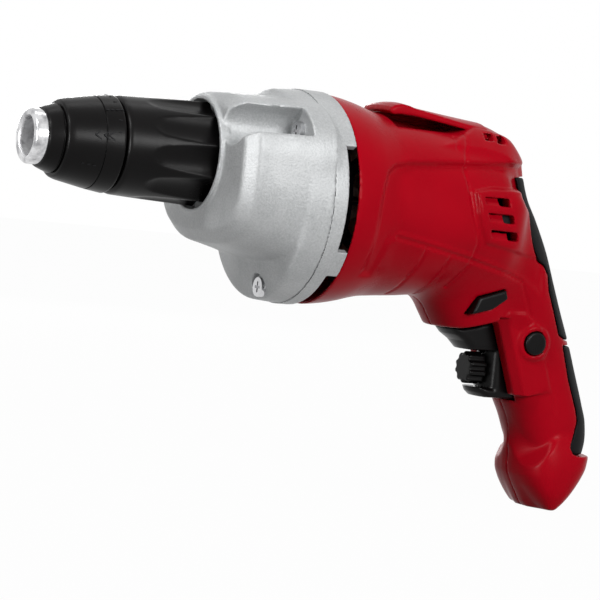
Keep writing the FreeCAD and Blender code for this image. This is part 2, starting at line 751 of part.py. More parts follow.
def gear_blank(teeth, shift, width):
    """A spur gear along +X with a tooth towards +Z, its flanks worked out from the involute."""
    module = s.gear_module.value
    pressure = math.radians(s.pressure_angle.value)
    pitch_radius = module * teeth / 2
    base_radius = pitch_radius * math.cos(pressure)
    root = pitch_radius - module * (s.dedendum_share.value - shift)
    tip = pitch_radius + module * (s.addendum_share.value + shift)
    half = (math.pi / 2 + 2 * shift * math.tan(pressure)) / teeth - s.tooth_thinning.value / 2 / pitch_radius
    steps = 4
    flank = []
    for at in range(steps + 1):
        radius = root + (tip - root) * at / steps
        lean = involute(math.acos(min(1.0, base_radius / radius)))
        flank.append((radius, half + involute(pressure) - lean))
    points = []
    for tooth in around(teeth):
        middle = math.radians(tooth)
        side = [(radius, middle - spread) for radius, spread in flank]
        side += [(radius, middle + spread) for radius, spread in reversed(flank)]
        points += [FreeCAD.Vector(0, -radius * math.sin(turn), radius * math.cos(turn)) for radius, turn in side]
    face = Part.Face(Part.makePolygon(points + points[:1]))
    return face.extrude(X_WAY * width)


# driven gear on the spindle's tail, with its dogs and clutch spring
def drive_gear():
    teeth = int(s.gear_teeth.value)
    blank = gear_blank(teeth, -s.tooth_shift_share.value, s.gear_width.value)
    blank.Placement = FreeCAD.Placement(X_WAY * gear_front.value, FreeCAD.Rotation(X_WAY, 180.0 + 180.0 / teeth))
    bore = rod("gear_bore", s.tail_radius + s.running_fit, s.gear_width + s.overrun * 2, gear_front - s.overrun)
    seat = rod("spring_seat", s.gear_counterbore_radius, s.gear_counterbore + s.overrun, gear_front - s.overrun)
    toothed = less("gear_bored", feature("gear_blank", blank), bore, seat)
    keep(joined("drive_gear", toothed, lugs("gear_dogs", gear_dogs_x, 180.0 / s.dog_count.value)))
    spring_rear = gear_front + s.gear_counterbore
    length = spring_rear - dogs_x - s.press_travel - s.face_gap * 2
    start = spring_rear - length - s.face_gap / 2
    keep(sleeve("clutch_spring", start, length, s.clutch_spring_radius - s.clutch_wire / 2,
                s.clutch_spring_radius + s.clutch_wire / 2))


# motor: armature with its pinion, fan and commutator, in the field between two bearings
def armature():
    pinion = gear_blank(int(s.pinion_teeth.value), s.tooth_shift_share.value, s.pinion_width.value)
    pinion.Placement = FreeCAD.Placement(FreeCAD.Vector(pinion_front.value, 0, motor_z.value), UPRIGHT)
    shaft = rod("shaft_bar", s.shaft_radius, shaft_rear - pinion_rear, pinion_rear, z=motor_z)
    keep(joined("armature_shaft", shaft, feature("pinion", pinion)))
    keep(sleeve("armature_core", core_front, s.core_length, s.shaft_radius, s.core_radius, motor_z))
    ends = (("armature_winding_front", core_front - s.winding_length), ("armature_winding_rear", core_rear))
    for label, front in ends:
        middle = front + s.winding_length / 2
        rear = front + s.winding_length
        keep(turned(label, [
            (front, s.shaft_radius), (front, s.winding_inner_radius), (middle, s.winding_radius),
            (rear, s.winding_radius), (rear, s.shaft_radius),
        ] if front is not core_rear else [
            (front, s.shaft_radius), (front, s.winding_radius), (middle, s.winding_radius),
            (rear, s.winding_inner_radius), (rear, s.shaft_radius),
        ], z=motor_z))
    keep(sleeve("commutator", commutator_front, s.commutator_length, s.shaft_radius, s.commutator_radius,
                motor_z))
    disc = turned("fan_disc_blank", [
        (fan_front, s.shaft_radius), (fan_front, s.fan_radius), (fan_front + s.fan_disc, s.fan_radius),
        (fan_front + s.fan_disc, s.fan_hub_radius), (fan_rear, s.fan_hub_radius), (fan_rear, s.shaft_radius),
    ], z=motor_z)
    blades = []
    span = s.fan_blade_span.value
    thick = s.fan_blade_thickness.value
    for angle in around(int(s.fan_blade_count.value)):
        corner = FreeCAD.Vector(0, -thick / 2, s.fan_blade_start.value)
        blade = Part.makeBox(s.fan_blade_height.value, thick, span, corner)
        spot = FreeCAD.Vector((fan_front + s.fan_disc).value, 0, motor_z.value)
        blade.Placement = FreeCAD.Placement(spot, FreeCAD.Rotation(X_WAY, angle))
        blades.append(blade)
    keep(joined("cooling_fan", disc, feature("fan_blades", Part.makeCompound(blades))))


def field():
    inner = s.core_radius + s.air_gap
    coil_outer = s.field_radius - s.face_gap
    coil_inner = s.field_radius - s.field_coil_wall
    keep(sleeve("field_core", core_front, s.core_length, inner, s.field_radius, motor_z))
    keep(sleeve("field_coil_front", core_front - s.field_coil_length, s.field_coil_length, coil_inner, coil_outer,
                motor_z))
    keep(sleeve("field_coil_rear", core_rear, s.field_coil_length, coil_inner, coil_outer, motor_z))
    keep(bearing("rear_bearing", rear_bearing_front))
    waist_radius = s.barrel_radius * BARREL_SHARES[WAIST][1]
    keep(sleeve("air_baffle", waist_x - s.baffle_thickness, s.baffle_thickness, s.baffle_bore,
                waist_radius - s.wall - s.face_gap, motor_z))
    rear_radius = s.barrel_radius * BARREL_SHARES[BRUSHES][1]
    holder_x = commutator_front + (s.commutator_length - s.brush_width) / 2 - s.brush_wall
    holder_z = motor_z - s.brush_height / 2 - s.brush_wall
    start = s.commutator_radius + s.face_gap * 2
    reach = rear_radius - s.wall - start
    side = s.brush_wall + s.running_fit
    for label, way in (("left", -1), ("right", 1)):
        low = start if way > 0 else -(start + reach)
        outer = block(f"holder_outside_{label}", s.brush_width + s.brush_wall * 2, reach,
                      s.brush_height + s.brush_wall * 2, holder_x, low, holder_z)
        inner_y = low - s.overrun if way > 0 else low + s.brush_wall
        inside = block(f"holder_inside_{label}", s.brush_width + s.running_fit * 2, reach + s.overrun - s.brush_wall,
                       s.brush_height + s.running_fit * 2, holder_x + side - s.running_fit * 2, inner_y,
                       holder_z + side - s.running_fit * 2)
        keep(less(f"brush_holder_{label}", outer, inside))
        brush_inner = s.commutator_radius + s.running_fit
        brush_y = brush_inner if way > 0 else -(brush_inner + s.brush_length)
        keep(block(f"carbon_brush_{label}", s.brush_width, s.brush_length, s.brush_height,
                   holder_x + s.brush_wall, brush_y, holder_z + s.brush_wall))


# moulded housing: barrel, body and leaning handle
lean = math.radians(s.handle_lean.value)
handle_x = housing_front + s.handle_reach
trigger_x = housing_front + s.trigger_front
trigger_z = motor_z - s.trigger_drop


def handle_section(row, inset):
    """One level oval of the body or the handle, set in from the outside."""
    drop, front, back, width = row
    level = motor_z.value - drop * s.handle_drop.value
    centre = handle_x.value + math.tan(lean) * (motor_z.value - level)
    low = front * s.handle_depth.value
    high = back * s.handle_depth.value
    half = width * s.handle_width.value / 2
    middle = FreeCAD.Vector(centre + (high - low) / 2, 0, level)
    reach = (high + low) / 2 - inset
    return oval(middle, half - inset, reach, reach, Y_WAY, X_WAY)


def stack(rows, inset):
    """A loft through level ovals; an inset also lowers its top and lifts its bottom."""
    wires = [handle_section(row, inset) for row in rows]
    wires[0].translate(Z_WAY * -inset)
    wires[-1].translate(Z_WAY * inset)
    return Part.makeLoft(wires, True, False)


def barrel(inset):
    """The round motor barrel, open to the front where it is hollowed."""
    radius = s.barrel_radius.value
    start = housing_front.value
    points = [FreeCAD.Vector(start + along * s.barrel_length.value, 0, share * radius - inset)
              for along, share in BARREL_SHARES]
    points[-1].x -= inset
    curve = Part.BSplineCurve()
    curve.interpolate(points)
    front = FreeCAD.Vector(start - (s.overrun.value if inset else 0.0), 0, points[0].z)
    edges = [curve.toShape()]
    ends = [points[-1], FreeCAD.Vector(points[-1].x, 0, 0), FreeCAD.Vector(front.x, 0, 0), front]
    if inset:
        ends.append(points[0])
    else:
        ends[-1] = points[0]
    edges += [Part.makeLine(a, b) for a, b in zip(ends, ends[1:])]
    solid = Part.Face(Part.Wire(edges)).revolve(FreeCAD.Vector(), X_WAY, 360)
    return solid.translated(Z_WAY * motor_z.value)


def side_shape(outline, low, high):
    """A prism across the tool from an outline seen from the side."""
    corners = [FreeCAD.Vector(x, low, z) for x, z in outline]
    return Part.Face(Part.makePolygon(corners + corners[:1])).extrude(Y_WAY * (high - low))


def housing_points(shares):
    reach = s.handle_reach.value
    drop = s.handle_drop.value
    return [(housing_front.value + x * reach, motor_z.value - z * drop) for x, z in shares]


def outside(inset):
    """The whole housing as one solid, set in by a wall for its hollow."""
    half = s.barrel_radius.value
    visor = stack(VISOR_SHARES, inset)
    visor = visor.cut(side_shape(housing_points(VISOR_EDGE_SHARES), -half, half).translated(Z_WAY * inset))
    return visor.fuse(stack(HANDLE_SHARES, inset)).fuse(barrel(inset))


def leaning_box(depth, width, height, offset, low):
    """A box that leans with the handle; offset and low are measured from the switch's front lower corner."""
    box = Part.makeBox(depth, width, height, FreeCAD.Vector(offset, -width / 2, low))
    box.Placement = FreeCAD.Placement(switch_corner(), FreeCAD.Rotation(Y_WAY, -s.handle_lean.value))
    return box


def switch_corner():
    gap = s.trigger_travel + s.trigger_side_gap
    corner = trigger_x + s.trigger_depth + gap
    return FreeCAD.Vector(corner.value, 0, (trigger_z - s.trigger_height).value)


def across(radius, x, z, low, high):
    return Part.makeCylinder(radius, high - low, FreeCAD.Vector(x, low, z), Y_WAY)


def slide_outline(gap):
    low_x = (housing_front + s.slide_reach).value
    low_z = (motor_z - s.slide_drop).value
    points = [FreeCAD.Vector(low_x + x * s.slide_length.value, 0, low_z + z * s.slide_height.value)
              for x, z in SLIDE_SHARES]
    wire = Part.makePolygon(points + points[:1])
    return Part.Face(wire.makeOffset2D(gap, 2) if gap else wire)


def gland_axis():
    """Where the handle's leaning axis leaves its base, and the way it points out."""
    level = motor_z.value - s.handle_drop.value
    row = HANDLE_SHARES[-1]
    shift = (row[2] - row[1]) / 2 * s.handle_depth.value
    centre = handle_x.value + math.tan(lean) * (motor_z.value - level) + shift
    return FreeCAD.Vector(centre, 0, level), FreeCAD.Vector(math.sin(lean), 0, -math.cos(lean))


def ribs():
    """Walls inside the housing that carry the field, the rear bearing, the baffle and the switch."""
    wide = s.barrel_radius.value
    thick = s.rib_thickness.value
    centre = Z_WAY * motor_z.value
    solids = []
    for start in ((core_front + s.rib_thickness).value, (core_rear - s.rib_thickness * 2).value):
        ring = Part.makeCylinder(wide, thick, centre + X_WAY * start, X_WAY)
        solids.append(ring.cut(Part.makeCylinder(s.field_radius.value, thick, centre + X_WAY * start, X_WAY)))
    tall = s.bearing_rib_half_height.value
    corner = FreeCAD.Vector(rear_bearing_front.value, -wide, motor_z.value - tall)
    seat = Part.makeBox(s.bearing_width.value, wide * 2, tall * 2, corner)
    bore_start = centre + X_WAY * rear_bearing_front.value
    bore = Part.makeCylinder(s.bearing_radius.value, s.bearing_width.value, bore_start, X_WAY)
    solids.append(seat.cut(bore))
    gap = s.face_gap.value
    height = s.switch_height.value
    base = motor_z.value - s.handle_drop.value
    far = FreeCAD.Vector(housing_front.value, -wide, base)
    solids.append(Part.makeBox(s.barrel_length.value * 2, wide * 2, s.base_floor.value, far))
    for low in (-thick - gap, height + gap):
        solids.append(leaning_box(s.handle_depth.value * 2, wide, thick, -s.handle_depth.value, low))
    return solids


def housing():
    wide = s.barrel_radius.value
    run = s.overrun.value
    skin = outside(0.0)
    hollow = outside(s.wall.value)
    rind = stack(HANDLE_SHARES, 0.0).cut(stack(HANDLE_SHARES, s.grip_thickness.value))
    clip_x = (housing_front + s.clip_front).value
    clip_z = (motor_z - s.handle_drop * HANDLE_SHARES[0][0]).value
    right = s.clip_trench_right.value
    trench_length = (s.clip_length * s.clip_root_share).value
    floor = clip_z - s.clip_trench_drop.value
    trench = Part.makeBox(trench_length, wide + right, wide, FreeCAD.Vector(clip_x + run, -wide, floor))
    wall = s.wall.value
    roof = Part.makeBox(trench_length + wall * 2, wide + right + wall, wide,
                        FreeCAD.Vector(clip_x + run - wall, -wide, floor - wall))
    screws = housing_points(HOUSING_SCREW_SHARES)
    posts = [across(s.boss_radius.value, x, z, -wide, wide) for x, z in screws]
    hollow = hollow.cut(Part.makeCompound([roof])).cut(ribs() + posts)
    pads = {"grip_upper": UPPER_PAD_SHARES, "grip_lower": LOWER_PAD_SHARES}
    pad_shapes = {name: side_shape(housing_points(shares), -wide, wide).common(rind)
                  for name, shares in pads.items()}
    seat = s.boss_seat.value
    hole = s.screw_radius.value
    holes = []
    for x, z in screws:
        holes.append(across(hole, x, z, seat - s.boss_screw_length.value, seat + run))
        holes.append(across(s.screw_head_radius.value + s.screw_clearance.value, x, z, seat, wide))
    vents = []
    first = housing_front.value + s.vent_front.value
    for at in range(int(s.vent_count.value)):
        level = motor_z.value + s.vent_rise.value - at * s.vent_pitch.value - s.vent_height.value
        spot = FreeCAD.Vector(first + at * s.vent_pitch.value * math.tan(lean), -wide, level)
        vents.append(Part.makeBox(s.vent_length.value, wide * 2, s.vent_height.value, spot))
    gap = s.trigger_side_gap.value
    half = s.trigger_width.value / 2 + gap
    rear = switch_corner()
    top = trigger_z.value + gap
    low = trigger_z.value - s.trigger_height.value - gap
    rise = s.switch_height.value * math.sin(lean)
    corners = [(trigger_x.value, top), (rear.x - rise, top), (rear.x, low), (trigger_x.value, low)]
    mouth = side_shape(corners, -half, half)
    lock_hole = s.lock_radius.value + s.running_fit.value
    lock = across(lock_hole, lock_x.value, lock_z.value, -wide, -s.lock_length.value)
    slot = slide_outline(s.slide_gap.value).extrude(Y_WAY * wide * 2).translated(Y_WAY * -wide)
    foot, out = gland_axis()
    inlet_length = s.gland_length.value + run * 2
    inlet = Part.makeCylinder(s.gland_radius.value, inlet_length, foot + out * run * 2, out * -1)
    shell = skin.cut([hollow, trench, mouth, lock, slot, inlet] + vents + holes + list(pad_shapes.values()))
    length = s.barrel_length.value + s.handle_drop.value * 2
    corner = FreeCAD.Vector(housing_front.value - run, -wide - run, motor_z.value - length)
    half_space = Part.makeBox(length, wide + run, length * 2, corner)
    keep(feature("housing_left", single(shell.common(half_space))))
    keep(feature("housing_right", single(shell.cut(half_space))))
    for name, shape in pad_shapes.items():
        keep(feature(name, single(shape)))
    body = screw(s.screw_head_radius.value, s.screw_head_height.value, s.screw_radius.value,
                 s.boss_screw_length.value)
    body.Placement = FreeCAD.Placement(FreeCAD.Vector(), FreeCAD.Rotation(Z_WAY, -90))
    group = [body.translated(FreeCAD.Vector(x, seat, z)) for x, z in screws]
    keep(feature("housing_screws", Part.makeCompound(group)))
    seat_z = motor_z - s.handle_drop * HANDLE_SHARES[0][0]
    start = housing_front + s.clip_front
    tongue_points = [(start + s.clip_length * x, seat_z + s.clip_height * z) for x, z in CLIP_SHARES]
    tongue = prism("clip_tongue", tongue_points,
                   s.clip_width)
    lip_points = [(start + s.clip_length * x, seat_z + s.clip_height * z) for x, z in LIP_SHARES]
    lip = prism("clip_lip", lip_points, s.clip_lip)
    put(lip, y=(s.clip_width - s.clip_lip) / 2)
    keep(joined("belt_clip", tongue, lip))


def single(shape):
    """The largest solid of a cut, without the crumbs that a cut can leave."""
    return max(shape.Solids, key=lambda solid: solid.Volume)


# trigger with its speed dial, lock button, reversing slide and switch
lock_x = housing_front + s.lock_reach
lock_z = motor_z - s.lock_drop


def controls():
    corners = [(trigger_x + s.trigger_depth * x, trigger_z - s.trigger_height * z) for x, z in TRIGGER_SHARES]
    blank = prism("trigger_blank", corners, s.trigger_width)
    notch_x = corners[NOTCH_BACK][0]
    notch_middle = (corners[NOTCH_BACK][1] + corners[NOTCH_TOP][1]) / 2
    stem_hole = rod("stem_hole", s.dial_stem_radius + s.running_fit, s.dial_stem_length + s.overrun,
                    notch_x - s.overrun, z=notch_middle)
    spring_z = motor_z - s.spring_drop
    corner = switch_corner()
    slope = math.tan(lean)
    top = spring_z.value + s.trigger_spring_radius.value + s.trigger_wire.value
    spring_rear = corner.x - (top - corner.z) * slope - s.face_gap.value / 2
    length = (s.trigger_travel * 2 + s.trigger_wire).value
    pocket_length = length + s.trigger_travel.value + s.spring_pocket_gap.value
    pocket_radius = (s.trigger_spring_radius + s.trigger_wire).value
    pocket = feature("spring_pocket", Part.makeCylinder(
        pocket_radius, pocket_length, FreeCAD.Vector(spring_rear - pocket_length, 0, spring_z.value), X_WAY))
    keep(less("trigger", blank, stem_hole, pocket))
    keep(helix("trigger_spring", s.trigger_spring_radius.value, s.trigger_wire.value, length, s.trigger_turns.value,
               FreeCAD.Vector(spring_rear - length, 0, spring_z.value)))
    knob_front = notch_x - s.dial_length - s.face_gap
    knob = rod("dial_knob", s.dial_radius, s.dial_length, knob_front, z=notch_middle)
    scallops = []
    for angle in around(int(s.dial_scallops.value)):
        turn = math.radians(angle)
        scallops.append(rod(f"scallop_{angle:.0f}", s.dial_scallop_radius, s.dial_length + s.overrun * 2,
                            knob_front - s.overrun, s.dial_radius * math.cos(turn),
                            notch_middle + s.dial_radius * math.sin(turn)))
    stem = rod("dial_stem", s.dial_stem_radius, s.dial_stem_length, notch_x - s.face_gap, z=notch_middle)
    keep(joined("speed_dial", less("dial_fluted", knob, *scallops), stem))
    side = s.handle_width / 2
    lock_y = -(side + s.lock_proud - s.lock_length)
    keep(rod("lock_button", s.lock_radius, s.lock_length, lock_x, lock_y, lock_z, ALONG_LEFT))
    span = s.slide_half_span.value
    keep(feature("reverse_slide", slide_outline(0.0).extrude(Y_WAY * span * 2).translated(Y_WAY * -span)))
    box = leaning_box(s.switch_depth.value, s.switch_width.value, s.switch_height.value, 0.0, 0.0)
    keep(feature("switch_body", box))
    terminal_low = (s.switch_height - s.terminal_height).value / 2
    keep(feature("terminal_block", leaning_box(s.terminal_depth.value, s.switch_width.value, s.terminal_height.value,
                                               s.switch_depth.value, terminal_low)))
    can_top = -(s.rib_thickness + s.face_gap * 2).value
    can = Part.makeCylinder(s.capacitor_radius.value, s.capacitor_length.value,
                            FreeCAD.Vector(s.switch_depth.value, 0, can_top), Z_WAY * -1)
    can.Placement = box.Placement
    keep(feature("capacitor", can))
    foot, out = gland_axis()
    inside = foot - out * (s.gland_sink + s.gland_length).value
    tube = Part.makeCylinder(s.gland_radius.value, s.gland_length.value, inside, out)
    flange = Part.makeCylinder(s.gland_flange_radius.value, s.gland_flange_thickness.value, inside, out)
    bore = Part.makeCylinder(s.gland_bore.value, s.gland_length.value, inside, out)
    keep(feature("cable_gland", tube.fuse(flange).cut(bore)))


nose()
collar()
gear_head()
bearing_plate()
spindle()
drive_gear()
armature()
field()
housing()
controls()
doc.recompute()

for item in doc.Objects:
    if "Invalid" in item.State or "Error" in item.State:
        raise RuntimeError(f"{item.Label} failed: {item.State}")
for item in parts:
    if item.Shape.isNull() or not item.Shape.isValid():
        raise RuntimeError(f"{item.Label} has no valid shape")

os.makedirs("parts", exist_ok=True)
for item in parts:
    item.Shape.exportStep(f"parts/{item.Label}.step")
print(len(parts), "pieces written")
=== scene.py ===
import json
import math

import bpy
import numpy as np
from mathutils import Matrix, Vector


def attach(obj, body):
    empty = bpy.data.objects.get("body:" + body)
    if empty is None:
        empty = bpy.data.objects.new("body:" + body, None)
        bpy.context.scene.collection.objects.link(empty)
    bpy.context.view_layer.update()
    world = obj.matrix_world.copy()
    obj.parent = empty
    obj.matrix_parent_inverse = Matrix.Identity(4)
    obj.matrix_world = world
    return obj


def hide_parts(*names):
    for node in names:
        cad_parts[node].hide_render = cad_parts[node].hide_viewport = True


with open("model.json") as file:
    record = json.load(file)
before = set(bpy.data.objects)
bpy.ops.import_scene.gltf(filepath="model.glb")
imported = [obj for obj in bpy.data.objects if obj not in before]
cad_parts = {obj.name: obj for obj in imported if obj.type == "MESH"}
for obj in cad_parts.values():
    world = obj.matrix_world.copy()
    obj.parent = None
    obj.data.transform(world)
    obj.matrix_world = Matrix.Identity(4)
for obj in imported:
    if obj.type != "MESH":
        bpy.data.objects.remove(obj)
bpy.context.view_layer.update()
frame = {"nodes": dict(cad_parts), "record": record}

# Sizes are in millimetres in the frame of the model: the nose points to -X, the spindle is the X axis.
MM = 0.001
MOTOR_Z = -13.0
FACE_X = 73.0
FLANGE_X = 103.0
SEAM_X = 113.4
FRONT_X = 124.3
BASE_Z = -134.0
LEAN = math.radians(19.7)
GLAND_X = 249.9
LOCK_X = 228.7
LOCK_Z = -63.5
DIAL_Z = -76.7
SEAT_CIRCLE = 38.0
SCREW_HOLE = 2.2
DIAGONAL = 0.7071
SHARP_EDGE = math.radians(40)

# Station along X and radius of the barrel.
BARREL = (
    (118, 43.1), (124.3, 42.8), (131, 42.0), (137, 40.8), (144, 38.9), (149, 37.8),
    (156, 37.1), (166, 36.3), (180, 34.7), (195, 33.1), (206, 31.6), (216, 30.0),
)
# Level, front, back and half width of the handle, of the foot and of the visor over the trigger.
HANDLE = (
    (24, 195, 208, 13), (21, 193, 211, 15), (17, 190, 215, 17.5), (11, 187, 219.5, 19.5),
    (4, 186, 221.5, 20.5), (-4, 186, 224.5, 21), (-12, 187, 229, 21.5), (-25, 191, 235.5, 21.5),
    (-40, 200, 242, 20.5), (-50, 207.5, 246.5, 19.3), (-62, 214.5, 252.3, 18), (-75, 220.5, 257.6, 17.6),
    (-89, 226, 263.2, 17.4), (-96, 230, 265.6, 17.3), (-103, 233.2, 266.4, 17.0), (-112, 238, 264.5, 16.5),
    (-124, 243, 258, 15), (-134, 247, 251, 13), (-138, 249, 250.4, 12),
)
FOOT = (
    (-98, 232, 265.2, 20.2), (-104, 233.2, 266.6, 20.3), (-110, 233.6, 267.4, 20.4),
    (-115, 233.4, 266.8, 20.4), (-119, 233.8, 265.0, 20.3), (-123, 235.6, 262.4, 19.9),
    (-127, 238.4, 259.2, 19.2), (-131, 241.8, 255.4, 17.6), (-134, 245, 251.6, 16), (-138, 248, 249, 14),
)
VISOR = (
    (-8, 174, 225, 28.0), (-25, 174, 225, 26.6), (-40, 177, 224.4, 22.5),
    (-50, 182, 224, 19.7), (-61, 189, 225, 17.6),
)
# Side outlines of the pieces, as stations and levels.
VISOR_EDGE = (
    (160, -61.4), (179, -61.2), (195.3, -59.8), (210.3, -55.6), (224.3, -53.0),
    (260, -53.0), (260, -190), (160, -190),
)
TRIGGER = (
    (192.6, -60.6), (203.0, -58.6), (211.0, -56.4), (219.2, -56.2), (229.8, -88.4), (212.2, -88.4),
    (210.0, -86.6), (209.0, -84.5), (214.6, -84.5), (214.6, -68.9), (203.0, -68.9), (199.1, -65.4),
    (195, -63),
)
MOUTH = ((191.6, -59.0), (211.0, -54.6), (226.5, -54.4), (238.0, -88.9), (191.6, -88.9))
CLIP = (
    (151.6, 26.4), (152.3, 28.0), (154.4, 29.2), (157.4, 29.9), (160.9, 29.5), (164.0, 28.75),
    (182.6, 27.1), (199.0, 25.7), (199.0, 22.0), (192.0, 22.6), (187.5, 24.3), (182.6, 24.65),
    (163.5, 25.7), (157.2, 25.7), (153.2, 25.2),
)
CLIP_LIP = ((156.8, 26.3), (163.5, 26.3), (182.6, 25.3), (190.6, 24.7), (190.6, 20.0), (156.8, 23.3))
PAD_UPPER = (
    (210.6, 5.0), (210.6, 3.6), (215, -6.6), (219.7, -18.8), (222.5, -25), (225.1, -28.9), (229, -30.7),
    (232.3, -34.6), (233.1, -40.9), (237.9, -51), (241.5, -59.3), (246.8, -61.6), (290, -61.6), (240, 5.0),
)
PAD_LOWER = (
    (244.6, -63.8), (249.1, -78), (254.7, -90.5), (255.9, -95.5), (254.2, -102), (252.3, -106.4),
    (253.6, -109), (256.8, -110), (290, -110), (280, -63.8),
)
SLIDE = ((194.1, -53.4), (197.1, -46.2), (209.5, -42.2), (210.7, -45.9), (204.1, -50.6))
# Relief of the housing's sides, as stations and levels.
PANEL = (
    (134.0, -42), (134.2, -28.5), (134.2, -20.4), (134.7, -12.5), (136.3, -4.5), (138.8, 1.6), (143.6, 4.9),
    (151.7, 6.6), (172.2, 8.4), (193.3, 9.9), (205.2, 10.7), (230, 11.6), (230, -45), (217.5, -38.1),
    (186.9, -31.0), (164.8, -27.2), (149.1, -24.7), (144, -28), (142, -42),
)
VENT_FIELD = (
    (183.2, -2.4), (192.4, -0.4), (230, 1.0), (230, -30), (191.4, -24.5), (187.6, -18.4), (185.2, -12.5),
)
VENTS = (
    ((188.1, -5.0), (200.4, -4.7), (201.2, -8.1), (189.0, -7.8)),
    ((190.2, -11.3), (203.1, -11.4), (204.3, -14.9), (191.6, -14.4)),
    ((192.6, -17.9), (206.4, -18.2), (207.6, -21.8), (194.0, -21.2)),
)
ROOF_VENTS = (
    ((195.0, 21.0), (199.4, 21.4), (198.6, 18.3), (194.4, 18.2)),
    ((201.2, 20.6), (205.2, 20.8), (204.6, 17.4), (200.2, 17.5)),
)
ROOF = ((184, 26.5), (190, 26.4), (197, 25.6), (203, 24.2), (207, 21.6), (210.5, 17.3), (214, 10.5))
CHEEK = (
    (211.6, -54.6), (214, -50.5), (223, -50.5), (231, -56), (236.5, -72), (240, -83.6),
    (229, -86.2), (223.8, -86.2),
)
# Line, half width and depth of each groove.
GROOVES = (
    (((147.5, -24.6), (164.8, -27.2), (186.9, -31.0), (209.2, -35.7), (217.5, -38.1)), 1.3, 0.8),
    (((162.9, -28.0), (161.8, -37.1), (160.3, -41.6), (159.4, -48)), 0.9, 0.5),
    (((176.0, -30.5), (175.2, -37.5), (174.7, -42.9), (173.8, -47)), 0.9, 0.5),
    (((185.0, 19.5), (181.2, 9.2), (180.6, 4.4), (181.9, -2.7), (184.2, -12.5), (188.4, -24.5),
      (187.3, -31.8), (185.0, -38.0), (182.5, -43)), 0.9, 0.5),
    (((179.8, 18.1), (178.1, 13.3)), 0.8, 0.4),
    (((217.9, -38.6), (223.6, -49.6), (226.0, -55.0)), 0.9, 0.4),
    (((234.4, -71.0), (237.4, -75.1), (241.0, -82.5), (243.8, -91.7)), 0.9, 0.3),
)
HOUSING_SCREWS = ((158, -46), (196.3, 15.4), (219.2, -38), (237.4, -47.5), (244, -106.8))
# Angle, lean and half width of each screw channel of the gear case, and whether it is open outwards.
GEAR_SEATS = ((137.0, 147.0, 7.6, True), (257.0, 257.0, 5.4, False), (17.0, 17.0, 5.4, False))
# Middle and half width of each air outlet, in degrees around the motor.
OUTLETS = ((2.0, 29.0), (178.0, 29.0), (270.0, 47.0))


# distances on grids

def blend_min(a, b, soft):
    """The nearer of two distances, with a fillet where they meet."""
    share = np.clip(0.5 + 0.5 * (b - a) / soft, 0.0, 1.0)
    return b + (a - b) * share - soft * share * (1.0 - share)


def blend_max(a, b, soft):
    """The farther of two distances, with a rounded edge where they meet."""
    return -blend_min(-a, -b, soft)


def between(value, low, high):
    """Distance outside a stretch from low to high."""
    return np.maximum(low - value, value - high)


def ease(low, high, value):
    share = np.clip((value - low) / (high - low), 0.0, 1.0)
    return share * share * (3.0 - 2.0 * share)


def eased_curve(stations, values):
    """A curve through points that never swings past them."""
    x = np.asarray(stations, float)
    y = np.asarray(values, float)
    order = np.argsort(x)
    x = x[order]
    y = y[order]
    step = np.diff(x)
    slope = np.diff(y) / step
    tangent = np.zeros_like(y)
    same = slope[1:] * slope[:-1] > 0
    first = 2 * step[1:] + step[:-1]
    second = step[1:] + 2 * step[:-1]
    with np.errstate(divide="ignore", invalid="ignore"):
        mean = (first + second) / (first / slope[:-1] + second / slope[1:])
    tangent[1:-1] = np.where(same, mean, 0.0)
    tangent[0] = slope[0]
    tangent[-1] = slope[-1]

    def at(where):
        where = np.clip(where, x[0], x[-1])
        cell = np.clip(np.searchsorted(x, where) - 1, 0, len(step) - 1)
        run = step[cell]
        t = (where - x[cell]) / run
        return ((2 * t ** 3 - 3 * t ** 2 + 1) * y[cell] + (t ** 3 - 2 * t ** 2 + t) * run * tangent[cell]
                + (3 * t ** 2 - 2 * t ** 3) * y[cell + 1] + (t ** 3 - t ** 2) * run * tangent[cell + 1])
    return at


def run_distance(start, end, u, v):
    """Square of the distance to one straight run."""
    along_u = end[0] - start[0]
    along_v = end[1] - start[1]
    t = ((u - start[0]) * along_u + (v - start[1]) * along_v) / (along_u * along_u + along_v * along_v)
    t = np.clip(t, 0.0, 1.0)
    return (u - start[0] - t * along_u) ** 2 + (v - start[1] - t * along_v) ** 2


def line_distance(points, u, v):
    """Distance to an open line of straight runs."""
    nearest = np.full(np.broadcast(u, v).shape, 1e9)
    for start, end in zip(points, points[1:]):
        nearest = np.minimum(nearest, run_distance(start, end, u, v))
    return np.sqrt(nearest)


def outline_distance(points, u, v):
    """Distance to a closed outline, negative inside."""
    closed = points + points[:1]
    inside = np.zeros(np.broadcast(u, v).shape, bool)
    for (ax, ay), (bx, by) in zip(closed, closed[1:]):
        if by != ay:
            inside ^= ((ay > v) != (by > v)) & (u < (bx - ax) * (v - ay) / (by - ay) + ax)
    return np.where(inside, -1.0, 1.0) * line_distance(closed, u, v)


def plane_distance(slopes, spot, x, side, z):
    """Distance in front of a plane through a spot, with side counted outwards from the middle."""
    return slopes[0] * (x - spot[0]) + slopes[1] * (side - spot[1]) + slopes[2] * (z - spot[2])


def steepened(values, step):
    """Turns a level function into a distance near its surface."""
    slopes = np.gradient(values.astype(np.float32), step)
    return values / np.maximum(np.sqrt(sum(part * part for part in slopes)), 1e-4)


def grid(low, high, step):
    axes = [np.arange(a, b + step, step, dtype=np.float32) for a, b in zip(low, high)]
    return axes[0][:, None, None], axes[1][None, :, None], axes[2][None, None, :]


# meshes from grids and from turned outlines

